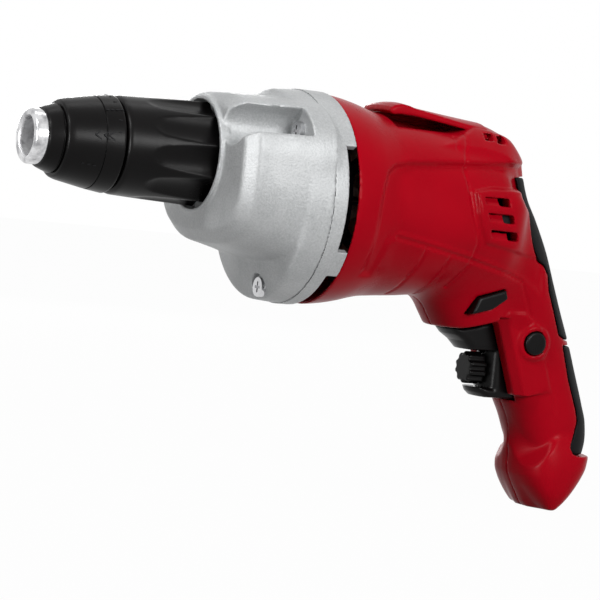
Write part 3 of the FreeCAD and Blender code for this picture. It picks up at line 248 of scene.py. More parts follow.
def crossings(field):
    """Edges of a grid that cross the surface, with their number and the sum of their places in each cell."""
    inside = field < 0
    count = np.zeros([n - 1 for n in field.shape], np.int8)
    total = [np.zeros(count.shape, np.float32) for _ in range(3)]
    edges = []
    for axis in range(3):
        first = [slice(None)] * 3
        second = [slice(None)] * 3
        first[axis] = slice(None, -1)
        second[axis] = slice(1, None)
        first = tuple(first)
        second = tuple(second)
        crossing = inside[first] != inside[second]
        edges.append((crossing, inside[first]))
        span = field[first] - field[second]
        part = np.where(crossing, field[first] / np.where(span == 0, 1, span), 0).astype(np.float32)
        others = [a for a in range(3) if a != axis]
        for da, db in np.ndindex(2, 2):
            window = [slice(None)] * 3
            window[others[0]] = slice(da, count.shape[others[0]] + da)
            window[others[1]] = slice(db, count.shape[others[1]] + db)
            window = tuple(window)
            count += crossing[window]
            total[axis] += part[window]
            total[others[0]] += da * crossing[window]
            total[others[1]] += db * crossing[window]
    return edges, count, total


def crossed_faces(axis, number, crossing, starts_inside):
    """One face across each crossed edge along an axis, turned outwards."""
    a = (axis + 1) % 3
    b = (axis + 2) % 3
    spots = np.argwhere(crossing)
    limit = number.shape
    keep = (spots[:, a] > 0) & (spots[:, b] > 0) & (spots[:, a] < limit[a]) & (spots[:, b] < limit[b])
    spots = spots[keep]
    ring = []
    for da, db in ((-1, -1), (0, -1), (0, 0), (-1, 0)):
        corner = spots.copy()
        corner[:, a] += da
        corner[:, b] += db
        ring.append(number[tuple(corner.T)])
    ring = np.stack(ring, 1)
    flip = ~starts_inside[tuple(spots.T)]
    ring[flip] = ring[flip][:, ::-1]
    return ring


def settled(field, points):
    """Moves each corner onto the surface along the field's slope, in a few short moves."""
    moves = 3
    longest = 0.4
    for _ in range(moves):
        base = np.clip(np.floor(points).astype(int), 0, np.array(field.shape) - 2)
        part = points - base
        value = 0.0
        slope = np.zeros_like(points)
        for dx, dy, dz in np.ndindex(2, 2, 2):
            corner = field[base[:, 0] + dx, base[:, 1] + dy, base[:, 2] + dz].astype(float)
            wx = part[:, 0] if dx else 1 - part[:, 0]
            wy = part[:, 1] if dy else 1 - part[:, 1]
            wz = part[:, 2] if dz else 1 - part[:, 2]
            value = value + corner * wx * wy * wz
            slope[:, 0] += corner * (1 if dx else -1) * wy * wz
            slope[:, 1] += corner * (1 if dy else -1) * wx * wz
            slope[:, 2] += corner * (1 if dz else -1) * wx * wy
        square = np.maximum((slope ** 2).sum(1), 1e-6)
        move = slope * (value / square)[:, None]
        points = points - np.clip(move, -longest, longest)
    return points


def formed(name, low, step, field):
    """A closed mesh around the part of a grid where the distance field is negative."""
    field = field.astype(np.float32)
    edges, count, total = crossings(field)
    used = count > 0
    number = np.cumsum(used.ravel()).reshape(used.shape) - 1
    points = np.stack([total[a][used] / count[used] for a in range(3)], 1) + np.argwhere(used)
    points = settled(field, points)
    faces = [crossed_faces(axis, number, *edge) for axis, edge in enumerate(edges)]
    return mesh_object(name, (points * step + np.asarray(low)) * MM, np.concatenate(faces))


def mesh_object(name, points, faces):
    mesh = bpy.data.meshes.new(name)
    mesh.vertices.add(len(points))
    mesh.vertices.foreach_set("co", np.ascontiguousarray(points, np.float32).ravel())
    corners = faces.shape[1]
    mesh.loops.add(faces.size)
    mesh.loops.foreach_set("vertex_index", np.ascontiguousarray(faces, np.int32).ravel())
    mesh.polygons.add(len(faces))
    mesh.polygons.foreach_set("loop_start", np.arange(0, faces.size, corners, dtype=np.int32))
    mesh.polygons.foreach_set("use_smooth", np.ones(len(faces), bool))
    mesh.update(calc_edges=True)
    mesh.validate()
    mesh.set_sharp_from_angle(angle=SHARP_EDGE)
    piece = bpy.data.objects.new(name, mesh)
    bpy.context.scene.collection.objects.link(piece)
    return piece


def applied(piece):
    """Turns a piece with a modifier into a plain mesh."""
    bpy.context.view_layer.update()
    mesh = bpy.data.meshes.new_from_object(piece.evaluated_get(bpy.context.evaluated_depsgraph_get()))
    piece.modifiers.clear()
    piece.data = mesh
    return mesh


def thinned(piece, most):
    """Merges the smallest faces of a fine mesh until about the given share of its faces is left."""
    modifier = piece.modifiers.new("thin", "DECIMATE")
    modifier.ratio = min(1.0, most / len(piece.data.polygons))
    applied(piece).set_sharp_from_angle(angle=SHARP_EDGE)
    return piece


def mirrored(piece):
    """Flips a mesh to the other side of the tool, with its faces still outwards."""
    piece.data.transform(Matrix.Scale(-1, 4, (0, 1, 0)))
    piece.data.flip_normals()


def spun(name, outline, segments=128):
    """A turned piece: a closed outline of stations and radii spun about the X axis."""
    ring = np.array(outline, float)
    count = len(ring)
    turns = np.linspace(0, 2 * math.pi, segments, endpoint=False)
    points = np.zeros((segments, count, 3))
    points[:, :, 0] = ring[:, 0]
    points[:, :, 1] = ring[:, 1] * np.cos(turns)[:, None]
    points[:, :, 2] = ring[:, 1] * np.sin(turns)[:, None]
    at = np.arange(segments * count).reshape(segments, count)
    after = np.roll(at, -1, 0)
    faces = np.stack([at, np.roll(at, -1, 1), np.roll(after, -1, 1), after], -1).reshape(-1, 4)
    return mesh_object(name, points.reshape(-1, 3) * MM, faces[:, ::-1])


def rounded(outline, radius, steps=4):
    """An outline whose corners are rounded by arcs no longer than their sides allow."""
    most = 0.45
    result = []
    count = len(outline)
    for at in range(count):
        here = np.array(outline[at], float)
        before = np.array(outline[at - 1], float) - here
        after = np.array(outline[(at + 1) % count], float) - here
        reach = min(radius, np.linalg.norm(before) * most, np.linalg.norm(after) * most)
        start = here + before / np.linalg.norm(before) * reach
        end = here + after / np.linalg.norm(after) * reach
        for t in np.linspace(0, 1, steps):
            result.append(tuple((1 - t) ** 2 * start + 2 * t * (1 - t) * here + t ** 2 * end))
    return result


def rounded_bar(name, outline, half_width, step, soft, set_back=0.0, cut=None):
    """A side outline given a width, with its edges rounded and its flanks set back from its middle."""
    margin = 2
    side_margin = 1.5
    points = np.array(outline)
    low = (points[:, 0].min() - margin, -half_width - side_margin, points[:, 1].min() - margin)
    high = (points[:, 0].max() + margin + set_back, half_width + side_margin, points[:, 1].max() + margin)
    x, y, z = grid(low, high, step)
    flat = outline_distance(outline, x - set_back * (np.abs(y) / half_width) ** 2, z)
    field = blend_max(flat, np.abs(y) - half_width, soft)
    if cut:
        field = cut(field, x, y, z)
    return formed(name, low, step, field)


def finished(piece, body, node, slot, material=None):
    """Gives a piece the finish of its slot, or another one, and says what it rides on and replaces."""
    piece.data.materials.clear()
    piece.data.materials.append(material or SLOT_FINISHES[slot])
    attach(piece, body)
    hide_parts(node)


# nodes

class Value:
    """A number, colour or vector of a node tree; sums and products of numbers add Math nodes."""

    def __init__(self, nodes, socket):
        self.nodes = nodes
        self.socket = socket

    def math(self, operation, a, b):
        return self.nodes.node("ShaderNodeMath", {"operation": operation}, {0: a, 1: b})

    def __add__(self, other):
        return self.math("ADD", self, other)

    def __sub__(self, other):
        return self.math("SUBTRACT", self, other)

    def __rsub__(self, other):
        return self.math("SUBTRACT", other, self)

    def __mul__(self, other):
        return self.math("MULTIPLY", self, other)



class Nodes:
    """A node tree under construction, of a material, a modifier or the world."""

    def __init__(self, tree):
        self.tree = tree

    def node(self, kind, settings, inputs, output=0):
        made = self.tree.nodes.new(kind)
        for name, setting in settings.items():
            setattr(made, name, setting)
        for name, value in inputs.items():
            self.link(made.inputs[name], value)
        return Value(self, made.outputs[output])

    def link(self, socket, value):
        if isinstance(value, Value):
            self.tree.links.new(value.socket, socket)
        else:
            socket.default_value = value


class Finish(Nodes):
    """A material under construction, with its patterns on Object coordinates."""

    def __init__(self, name):
        self.material = bpy.data.materials.new(name)
        self.material.use_nodes = True
        super().__init__(self.material.node_tree)
        self.shader = self.tree.nodes["Principled BSDF"]

    def place(self):
        return self.node("ShaderNodeTexCoord", {}, {}, "Object")

    def noise(self, scale, detail, roughness=0.55):
        sizes = {"Scale": scale, "Detail": detail, "Roughness": roughness}
        return self.node("ShaderNodeTexNoise", {}, {"Vector": self.place(), **sizes})

    def spread(self, value, low, high, floor, ceiling):
        limits = {1: low, 2: high, 3: floor, 4: ceiling}
        return self.node("ShaderNodeMapRange", {"clamp": True}, {0: value, **limits})

    def tint(self, factor, first, second):
        colours = {6: (*first, 1), 7: (*second, 1)}
        return self.node("ShaderNodeMix", {"data_type": "RGBA"}, {0: factor, **colours}, 2)

    def bump(self, height, strength, distance):
        sizes = {"Strength": strength, "Distance": distance}
        self.set("Normal", self.node("ShaderNodeBump", {}, {"Height": height, **sizes}))

    def set(self, name, value):
        self.link(self.shader.inputs[name], value)


# finishes, in metres

def moulded(name, colour, dark, rough, grain, depth, shine):
    """Spark-eroded moulded plastic: a fine even grain, and faint clouds in its colour and gloss."""
    gloss_range = 0.05
    grain_gloss = 0.06
    grain_strength = 0.35
    finish = Finish(name)
    clouds = finish.noise(scale=38.0, detail=4.0)
    finish.set("Base Color", finish.tint(finish.spread(clouds, 0.35, 0.65, 0.0, 1.0), dark, colour))
    fine = finish.noise(grain, 2.0, 0.5)
    gloss = finish.spread(clouds, 0.3, 0.7, rough - gloss_range, rough + gloss_range)
    finish.set("Roughness", gloss + (fine - 0.5) * grain_gloss)
    finish.bump(fine, grain_strength, depth)
    finish.set("Specular IOR Level", shine)
    return finish.material


def metal(name, bright, dull, rough, grain, depth, metallic):
    """Metal with a grain and faint clouds in its colour, and the grain in its gloss."""
    cloud_share = 0.4
    grain_share = 0.6
    grain_strength = 0.5
    finish = Finish(name)
    clouds = finish.noise(scale=55.0, detail=5.0)
    fine = finish.noise(grain, 4.0, 0.6)
    mottle = clouds * cloud_share + fine * grain_share
    finish.set("Base Color", finish.tint(finish.spread(mottle, 0.36, 0.64, 0.0, 1.0), dull, bright))
    finish.set("Roughness", finish.spread(fine, 0.3, 0.7, rough - 0.06, rough + 0.08))
    finish.set("Metallic", metallic)
    finish.bump(fine, grain_strength, depth)
    return finish.material


def bored_steel():
    """Polished steel with darker patches at random outside and a dull bore around the X axis."""
    patch_dark = (0.34, 0.34, 0.35)
    bright = (0.72, 0.72, 0.73)
    finish = Finish("mouth_steel")
    patches = finish.spread(finish.noise(scale=210.0, detail=3.0, roughness=0.6), 0.34, 0.60, 0.0, 1.0)
    across = {0: finish.place(), 1: (0, 1, 1)}
    spokes = finish.node("ShaderNodeVectorMath", {"operation": "MULTIPLY"}, across)
    radius = finish.node("ShaderNodeVectorMath", {"operation": "LENGTH"}, {0: spokes}, 1)
    bore = finish.spread(radius, low=0.0076, high=0.0081, floor=1.0, ceiling=0.0)
    finish.set("Base Color", finish.tint(patches, patch_dark, bright))
    finish.set("Roughness", finish.spread(patches, 0.0, 1.0, 0.24, 0.16) + bore * 0.3)
    finish.set("Metallic", 1 - bore * 0.45)
    finish.bump(patches, 0.3, 0.00004)
    return finish.material


# Two colours, roughness, scale and depth of the grain, then the shine of a plastic or the metallic share.
red_plastic = moulded(
    "red_moulding", (0.40, 0.0010, 0.009), (0.36, 0.0008, 0.008), 0.30, 2600.0, 0.00005, 0.05)
black_plastic = moulded(
    "black_moulding", (0.0026, 0.0022, 0.0023), (0.0018, 0.0015, 0.0016), 0.30, 2400.0, 0.00005, 0.11)
inner_plastic = moulded(
    "inner_moulding", (0.012, 0.012, 0.013), (0.009, 0.009, 0.010), 0.5, 2000.0, 0.00006, 0.1)
rubber = moulded(
    "pad_rubber", (0.0085, 0.0085, 0.009), (0.0065, 0.0065, 0.007), 0.55, 1500.0, 0.00012, 0.06)
cast_metal = metal(
    "cast_alloy", (0.52, 0.53, 0.535), (0.36, 0.37, 0.375), 0.48, 1250.0, 0.00030, 0.28)
steel = metal(
    "polished_steel", (0.60, 0.60, 0.61), (0.50, 0.50, 0.51), 0.18, 260.0, 0.00003, 1.0)
mouth_steel = bored_steel()
bronze = metal(
    "sintered_bronze", (0.48, 0.30, 0.14), (0.40, 0.25, 0.11), 0.4, 1500.0, 0.00004, 1.0)
iron = metal(
    "core_iron", (0.16, 0.16, 0.17), (0.12, 0.12, 0.125), 0.5, 1200.0, 0.00005, 0.9)
# The winding copper is far darker than bare copper: partly its varnish, partly painted shade, so that the
# motor seen through the air outlets reads dark.
copper = metal(
    "shaded_winding_copper", (0.13, 0.045, 0.018), (0.08, 0.028, 0.012), 0.4, 1800.0, 0.00006, 0.6)
SLOT_FINISHES = {
    "red_plastic": red_plastic, "black_plastic": black_plastic, "inner_plastic": inner_plastic,
    "soft_rubber": rubber, "cast_alloy": cast_metal, "bright_steel": steel, "bronze": bronze,
    "motor_iron": iron, "copper": copper,
}
for part in frame["record"]["subparts"]:
    node = frame["nodes"][part["node"]]
    node.data.materials.clear()
    node.data.materials.append(SLOT_FINISHES[part["material_slot"]])


# moulded housing

handle_rows = np.array(HANDLE, float)
visor_rows = np.array(VISOR, float)
foot_rows = np.array(FOOT, float)
barrel_radius = eased_curve(*np.array(BARREL, float).T)


def stacked(rows, x, y, z, step, power=2.4):
    """A stem of level ovals, each with its own front, back and half width."""
    level = np.clip(z, rows[:, 0].min(), rows[:, 0].max())
    front, back, half = (eased_curve(rows[:, 0], rows[:, at])(level) for at in (1, 2, 3))
    middle = (front + back) / 2
    depth = (back - front) / 2
    away = ((np.abs(x - middle) / depth) ** power + (np.abs(y) / half) ** power) ** (1 / power) - 1
    return steepened(away, step)


def handle_field(x, y, z, step):
    top_z = 21.0
    stem = stacked(handle_rows, x, y, z, step)
    stem = blend_max(stem, z - top_z, soft=2.0)
    return blend_max(stem, BASE_Z - z, soft=1.4)


def barrel_field(x, y, z):
    rear_x = 211.5
    radius = np.sqrt(y * y + (z - MOTOR_Z) ** 2)
    slope = barrel_radius(x + 0.5) - barrel_radius(x - 0.5)
    wall = (radius - barrel_radius(x)) / np.sqrt(1 + slope * slope)
    return blend_max(wall, x - rear_x, soft=9.0)


def housing_field(x, y, z, step, handle):
    """The barrel, the visor below it and the handle, without their relief."""
    visor_top = -8.0
    visor = stacked(visor_rows, x, y, z, step)
    visor = blend_max(visor, z - visor_top, soft=4.0)
    visor = blend_max(visor, -outline_distance(VISOR_EDGE, x, z), soft=1.2)
    body = blend_min(barrel_field(x, y, z), visor, soft=7.0)
    return blend_min(body, handle, soft=5.0)


def foot_field(x, y, z, step):
    """The block at the handle's base, with a slanted facet above it on each side."""
    top_z = -96.0
    side = np.abs(y)
    block = blend_max(stacked(foot_rows, x, y, z, step, power=2.7), BASE_Z - z, soft=1.0)
    facet = plane_distance((-0.81, 0.40, 0.43), (239.4, 20.4, -115.3), x, side, z)
    shoulder = plane_distance((0.0, 0.937, 0.35), (0.0, 18.0, -104.0), x, side, z)
    block = blend_max(blend_max(block, facet, soft=0.5), shoulder, soft=2.5)
    return blend_max(block, z - top_z, soft=3.0)


def roof_field(x, y, z):
    """The crown of the housing behind the belt gap."""
    side_drop = 9.5
    half_width = 20.0
    arch_power = 2.2
    front_x = 184.5
    front_z = 19.7
    front_lean = 1.75
    crown_share = 0.85
    front_share = 0.5
    floor_z = 11.0
    rear_x = 212.0
    widest = 22.0
    crown = eased_curve(*np.array(ROOF, float).T)(x) - side_drop * (np.abs(y) / half_width) ** arch_power
    front = front_x + (z - front_z) * front_lean
    roof = blend_max((z - crown) * crown_share, (front - x) * front_share, soft=1.2)
    return np.maximum(np.maximum(roof, floor_z - z), np.maximum(x - rear_x, np.abs(y) - widest))


def housing_pieces():
    """Both halves of the housing; the right one is formed on the left and mirrored."""
    step = 0.7
    gap_floor = 19.6
    gap_side = 6.0
    foot_crease = 0.8
    foot_fillet = 7.0
    low = (FRONT_X - 3.0, -46.2, BASE_Z - 2.1)
    x, y, z = grid(low, (274.5, 1.4, 33.0), step)
    side = -y
    handle = handle_field(x, y, z, step)
    tube = housing_field(x, y, z, step, handle)
    soft = foot_crease + foot_fillet * (1 - ease(3.0, 14.0, side))
    skin = blend_min(tube, foot_field(x, y, z, step), soft)
    skin = blend_max(np.maximum(skin, BASE_Z - z), FRONT_X - x, soft=0.6)
    gap = np.maximum(gap_floor - z, between(x, low=152.0, high=193.0))
    roof = roof_field(x, y, z)
    for name, way in (("left", -1), ("right", 1)):
        opening = gap if way < 0 else np.maximum(gap, side - gap_side)
        body = blend_max(skin, -opening, soft=0.8)
        body = blend_min(body, roof, soft=3.0)
        field = dressed(body, tube, handle, x, y, z, way)
        piece = thinned(formed(f"housing_shell_{name}", low, step, field), most=98000)
        if way > 0:
            mirrored(piece)
        finished(piece, "housing", f"housing_{name}", "red_plastic")


def dressed(body, tube, handle, x, y, z, way):
    """One half with its relief and openings, seen with y below zero; way is -1 on the left."""
    parting = 0.01
    side = -y
    outward = ease(8.0, 14.0, side)
    recess = panel_recess(x, z)
    body = body + recess * (1 - vent_field(x, z)) * outward
    body = grooved(body, x, side, z)
    body = cheeked(body, outward, x, side, z)
    body = hollowed(body, tube, recess, x, z)
    body = opened(body, handle, x, side, z)
    if way < 0:
        body = lock_seated(body, outward, x, side, z)
    else:
        body = screw_seated(body, tube, x, side, z)
    body = gland_bored(body, x, y, z)
    return np.maximum(body, parting - side)


def panel_recess(x, z):
    """Depth of the sunk side panel, deeper in its upper part."""
    shallow = 1.0
    deepening = 1.7
    depth = shallow + deepening * ease(-27.0, -6.0, z)
    return depth * (1 - ease(-3.4, 0.1, outline_distance(PANEL, x, z)))


def vent_field(x, z):
    """How far the raised field around the vents fills the panel's depth again."""
    fill = 0.9
    return fill * (1 - ease(-1.9, 0.1, outline_distance(VENT_FIELD, x, z)))


def grooved(body, x, side, z):
    flat_share = 0.25
    fade = ease(5.0, 8.0, side)
    for groove, width, depth in GROOVES:
        body = body + depth * (1 - ease(width * flat_share, width, line_distance(groove, x, z))) * fade
    return body


def cheeked(body, outward, x, side, z):
    """The raised cheek beside the trigger, with a bevel along its front edge."""
    rise = 0.8
    wall_middle = 13.2
    wall_half = 4.4
    edge_round = 0.8
    bevel_side = 14.2
    bevel_depth = 1.0
    cheek = outline_distance(CHEEK, x, z)
    body = body - rise * (1 - ease(-1.6, 0.0, cheek)) * outward
    wall = blend_max(cheek, np.abs(side - wall_middle) - wall_half, edge_round)
    body = blend_min(body, wall, edge_round)
    front = plane_distance((-0.933, 0.0, -0.360), (211.6, 0.0, -54.6), x, side, z)
    bevel = np.maximum(-DIAGONAL * (front + side - bevel_side), front - bevel_depth)
    bevel = np.maximum(bevel, between(z, low=-86.0, high=-54.0))
    return blend_max(body, -bevel, soft=0.6)


def hollowed(body, tube, recess, x, z):
    """The inside of the shell, with a thinner wall at the front edge and a solid base."""
    front_wall = 0.9
    more_wall = 2.1
    front_run = 8.0
    base_wall = 7.0
    roof_z = 16.4
    wall = front_wall + more_wall * ease(FRONT_X, FRONT_X + front_run, x) + recess
    hollow = np.maximum(tube + wall, BASE_Z + base_wall - z)
    return np.maximum(body, -np.maximum(hollow, z - roof_z))


def slotted(body, outline, inner_side, depth, x, side, z):
    """A slot cut into the wall from outside."""
    slot = np.maximum(np.maximum(outline_distance(outline, x, z), inner_side - side), -(body + depth))
    return blend_max(body, -slot, soft=0.5)


def opened(body, handle, x, side, z):
    """Beds of the grip pads, the trigger's mouth, the vents and the opening of the reverse slide."""
    pad_gap = 0.15
    pad_bed = 2.4
    mouth_side = 8.9
    vent_side = 12.0
    roof_vent_side = 5.0
    roof_vent_depth = 2.6
    slide_gap = 0.35
    slide_side = 8.0
    for pad in (PAD_UPPER, PAD_LOWER):
        bed = np.maximum(outline_distance(pad, x, z) - pad_gap, -(handle + pad_bed))
        body = blend_max(body, -bed, soft=0.4)
    mouth = np.maximum(outline_distance(MOUTH, x, z), side - mouth_side)
    body = blend_max(body, -mouth, soft=0.8)
    for vent in VENTS:
        body = slotted(body, vent, vent_side, vent_depth(vent, x, z), x, side, z)
    for vent in ROOF_VENTS:
        body = slotted(body, vent, roof_vent_side, roof_vent_depth, x, side, z)
    slide = np.maximum(outline_distance(SLIDE, x, z) - slide_gap, slide_side - side)
    return blend_max(body, -slide, soft=0.6)


def vent_depth(vent, x, z):
    """Depth of a vent: a slope that is deeper towards its top, and a deep end at its rear."""
    shallow = 0.3
    slope_depth = 2.2
    end_depth = 7.0
    end_length = 4.6
    end_slope = 1.0
    rear_x = vent[1][0]
    top = (vent[0][1] + vent[1][1]) / 2
    bottom = (vent[2][1] + vent[3][1]) / 2
    slope = slope_depth * np.clip((z - bottom) / (top - bottom), 0, 1)
    return shallow + slope + end_depth * ease(rear_x - end_length, rear_x - end_length + end_slope, x)


def lock_seated(body, outward, x, side, z):
    """A raised ring around the hole of the lock button."""
    rise = 1.1
    hole_radius = 5.2
    hole_side = 6.0
    around = np.hypot(x - LOCK_X, z - LOCK_Z)
    body = body - rise * (1 - ease(6.6, 8.2, around)) * outward
    return blend_max(body, -np.maximum(around - hole_radius, hole_side - side), soft=0.6)


def screw_seated(body, tube, x, side, z):
    """Pillars of the housing screws, each with a well for its head."""
    pillar_radius = 5.6
    pillar_depth = 0.8
    pillar_side = 1.0
    well_radius = 4.2
    well_side = 8.0
    for screw_x, screw_z in HOUSING_SCREWS:
        around = np.hypot(x - screw_x, z - screw_z)
        pillar = np.maximum(np.maximum(around - pillar_radius, tube + pillar_depth), pillar_side - side)
        body = np.minimum(body, pillar)
        body = np.maximum(body, -np.maximum(around - well_radius, well_side - side))
    return body


def gland_bored(body, x, y, z):
    """The leaning hole for the gland in the handle's base."""
    radius = 3.3
    depth = 9.0
    along = np.hypot(x - GLAND_X + (z - BASE_Z) * math.tan(LEAN), y)
    return np.maximum(body, -np.maximum(along - radius, z - BASE_Z - depth))


def pads():
    """The two grip pads, which stand proud of the handle; the upper one sinks in towards its top."""
    step = 0.6
    margin = 2
    half_width = 30.6
    rear_x = 273.5
    proud = 0.35
    sink = 1.1
    edge_gap = 0.25
    thickness = 2.2
    for name, outline in (("grip_upper", PAD_UPPER), ("grip_lower", PAD_LOWER)):
        points = np.array(outline)
        low = (points[:, 0].min() - margin, -half_width, points[:, 1].min() - margin)
        x, y, z = grid(low, (rear_x, half_width, points[:, 1].max() + margin), step)
        handle = handle_field(x, y, z, step)
        sunk = -proud
        if name == "grip_upper":
            sunk = sink * ease(-28, 2, z) - proud
        pad = blend_max(handle + sunk, outline_distance(outline, x, z) + edge_gap, soft=0.9)
        field = np.maximum(pad, -(handle + thickness))
        finished(formed(f"{name}_pad", low, step, field), "housing", name, "soft_rubber")


# gear head

def seat_centre(angle):
    """Centre of a screw of the gear case, across and upwards."""
    turn = math.radians(angle)
    return SEAT_CIRCLE * math.cos(turn), MOTOR_Z + SEAT_CIRCLE * math.sin(turn)


def boss_field(x, y, z, spindle_r, step):
    """The squared boss around the spindle, with a chamfer around its front face."""
    stations = (FACE_X, FACE_X + 6, FACE_X + 18, FLANGE_X, FLANGE_X + 4)
    half = eased_curve(stations, (40.6, 41.2, 41.6, 42.2, 42.4))(x)
    top = eased_curve(stations, (25.0, 25.4, 25.8, 26.4, 26.6))(x)
    bottom = eased_curve(stations, (33.0, 34.4, 37.2, 40.6, 41.5))(x)
    lower_power = eased_curve(stations, (3.1, 3.1, 3.2, 3.3, 3.3))(x)
    upper_power = 2.6
    face_radius = 21.6
    face_slope = 0.16
    chamfer = 4.0
    reach = np.where(z > 0, top, bottom)
    power = np.where(z > 0, upper_power, lower_power)
    boss = steepened(((np.abs(y) / half) ** power + (np.abs(z) / reach) ** power) ** (1 / power) - 1, step)
    face = FACE_X + face_slope * np.maximum(spindle_r - face_radius, 0.0) - x
    boss = blend_max(blend_max(boss, face, soft=0.6), (boss + face + chamfer) * DIAGONAL, soft=0.9)
    return np.maximum(boss, x - SEAM_X)


def flange_field(x, motor_r):
    """The round flange in front of the bearing plate, with a sloping front."""
    rim_radius = 42.3
    rim_flare = 0.08
    front_radius = 42.4
    front_slope = 0.3
    rim = motor_r - rim_radius - (x - FLANGE_X) * rim_flare
    front = FLANGE_X - front_slope * (front_radius - motor_r) - x
    return np.maximum(blend_max(rim, front, soft=1.6), x - SEAM_X)


def channelled(body, x, y, z):
    """The screw channels beside the boss, each with the hole of its screw."""
    floor_depth = 0.4
    for angle, lean, width, open_outwards in GEAR_SEATS:
        centre_y, centre_z = seat_centre(angle)
        cosine = math.cos(math.radians(lean))
        sine = math.sin(math.radians(lean))
        out = (y - centre_y) * cosine + (z - centre_z) * sine
        across = (z - centre_z) * cosine - (y - centre_y) * sine
        channel = np.hypot(across, np.minimum(out, 0.0) if open_outwards else out) - width
        body = blend_max(body, -np.maximum(channel, x - FLANGE_X - floor_depth), soft=0.9)
        body = np.maximum(body, SCREW_HOLE - np.hypot(across, out))
    return body


def necked(body, x, spindle_r):
    """The lip and the well around the collar's end, the neck that it turns on and the stepped bore."""
    lip_radius = 23.6
    lip_height = 1.2
    lip_root = 3.0
    well_radius = 21.8
    well_depth = 4.0
    fillet = 0.5
    neck_radius = 15.5
    front_bore = 12.05
    front_bore_rear = 77.0
    middle_bore = 9.0
    middle_bore_rear = 91.4
    rear_bore = 15.0
    lip = np.maximum(spindle_r - lip_radius, x - FACE_X - lip_root)
    lip = blend_max(lip, FACE_X - lip_height - x, soft=0.8)
    body = blend_min(body, lip, fillet)
    body = blend_max(body, -np.maximum(spindle_r - well_radius, x - FACE_X - well_depth), fillet)
    body = np.minimum(body, np.maximum(spindle_r - neck_radius, between(x, low=60.0, high=80.0)))
    bore = np.where(x < middle_bore_rear, middle_bore, rear_bore)
    bore = np.where(x < front_bore_rear, front_bore, bore)
    return np.maximum(body, bore - spindle_r)


def gear_case():
    step = 0.65
    pocket_radius = 6.5
    pocket_front = 98.0
    low = (58.0, -46.0, -59.0)
    x, y, z = grid(low, (SEAM_X + 2.0, 46.0, 33.0), step)
    spindle_r = np.sqrt(y * y + z * z)
    motor_r = np.sqrt(y * y + (z - MOTOR_Z) ** 2)
    body = blend_min(boss_field(x, y, z, spindle_r, step), flange_field(x, motor_r), soft=1.2)
    body = channelled(body, x, y, z)
    body = necked(body, x, spindle_r)
    body = np.maximum(body, -np.maximum(motor_r - pocket_radius, pocket_front - x))
    body = np.maximum(body, x - SEAM_X)
    piece = thinned(formed("gear_case", low, step, body), most=96000)
    finished(piece, "housing", "gear_housing", "cast_alloy")


def ring_field(x, motor_r, angle):
    """A rim with tabs between the air outlets, a web and a hub."""
    rim_radius = 43.4
    rim_inner = 40.2
    rim_rear = 124.1
    seam_overlap = 0.15
    outlet_front = 119.5
    degree_length = 0.74
    rim = blend_max(motor_r - rim_radius, SEAM_X - seam_overlap - x, soft=0.3)
    rim = np.maximum(rim, np.maximum(rim_inner - motor_r, x - rim_rear))
    for middle, half in OUTLETS:
        around = np.abs((angle - middle + 180.0) % 360.0 - 180.0)
        rim = np.maximum(rim, -np.maximum((around - half) * degree_length, outlet_front - x))
    web = np.maximum(between(motor_r, 4.4, 41.0), between(x, 113.95, 117.7))
    hub = np.maximum(between(motor_r, 9.55, 12.5), between(x, 117.0, 124.0))
    return np.minimum(np.minimum(rim, web), hub)


def outlet_ring():
    """The bearing plate behind the gear case, with holes on the spindle's axis and for the screws."""
    step = 0.55
    half_width = 45.0
    spindle_hole = 6.05
    holes_rear = 119.0
    low = (112.4, -half_width, MOTOR_Z - half_width)
    x, y, z = grid(low, (125.6, half_width, MOTOR_Z + half_width), step)
    motor_r = np.sqrt(y * y + (z - MOTOR_Z) ** 2)
    angle = np.degrees(np.arctan2(z - MOTOR_Z, y)) % 360.0
    body = ring_field(x, motor_r, angle)
    body = np.maximum(body, -np.maximum(np.sqrt(y * y + z * z) - spindle_hole, x - holes_rear))
    for seat in GEAR_SEATS:
        screw_y, screw_z = seat_centre(seat[0])
        hole = np.hypot(y - screw_y, z - screw_z) - SCREW_HOLE
        body = np.maximum(body, -np.maximum(hole, x - holes_rear))
    finished(formed("outlet_ring", low, step, body), "housing", "bearing_plate", "cast_alloy")


# depth collar and nose

def collar():
    """A sleeve that widens to the rear, with flutes around it and a groove for the snap ring."""
    step = 0.5
    half_width = 23.5
    front_x = 34.8
    rear_x = 75.0
    front_radius = 19.3
    widening = 1.8 / 40.2
    flutes = 10
    first_flute = 0.22
    flute_radius = 12.0
    nose_bore = 12.35
    neck_bore = 15.55
    neck_front = 59.8
    groove_x = 62.6
    groove_half = 0.8
    groove_radius = 16.5
    low = (33.0, -half_width, -half_width)
    x, y, z = grid(low, (76.5, half_width, half_width), step)
    radius = np.sqrt(y * y + z * z)
    outer = front_radius + (x - front_x) * widening
    body = blend_max(blend_max(radius - outer, front_x - x, soft=2.6), x - rear_x, soft=1.2)
    away = eased_curve((43.0, 45.5, 51.0, 72.0), (32.4, 31.8, 30.9, 30.3))(x)
    for at in range(flutes):
        turn = 2 * math.pi * (at + first_flute) / flutes
        flute = np.hypot(y - away * math.cos(turn), z - away * math.sin(turn)) - flute_radius
        body = blend_max(body, -flute, soft=0.25)
    bore = np.where(x < neck_front, nose_bore, neck_bore)
    body = np.maximum(body, bore - radius)
    groove = np.maximum(np.abs(x - groove_x) - groove_half, radius - groove_radius)
    body = np.maximum(body, -groove)
    finished(formed("depth_collar", low, step, body), "collar", "adjusting_collar", "black_plastic")


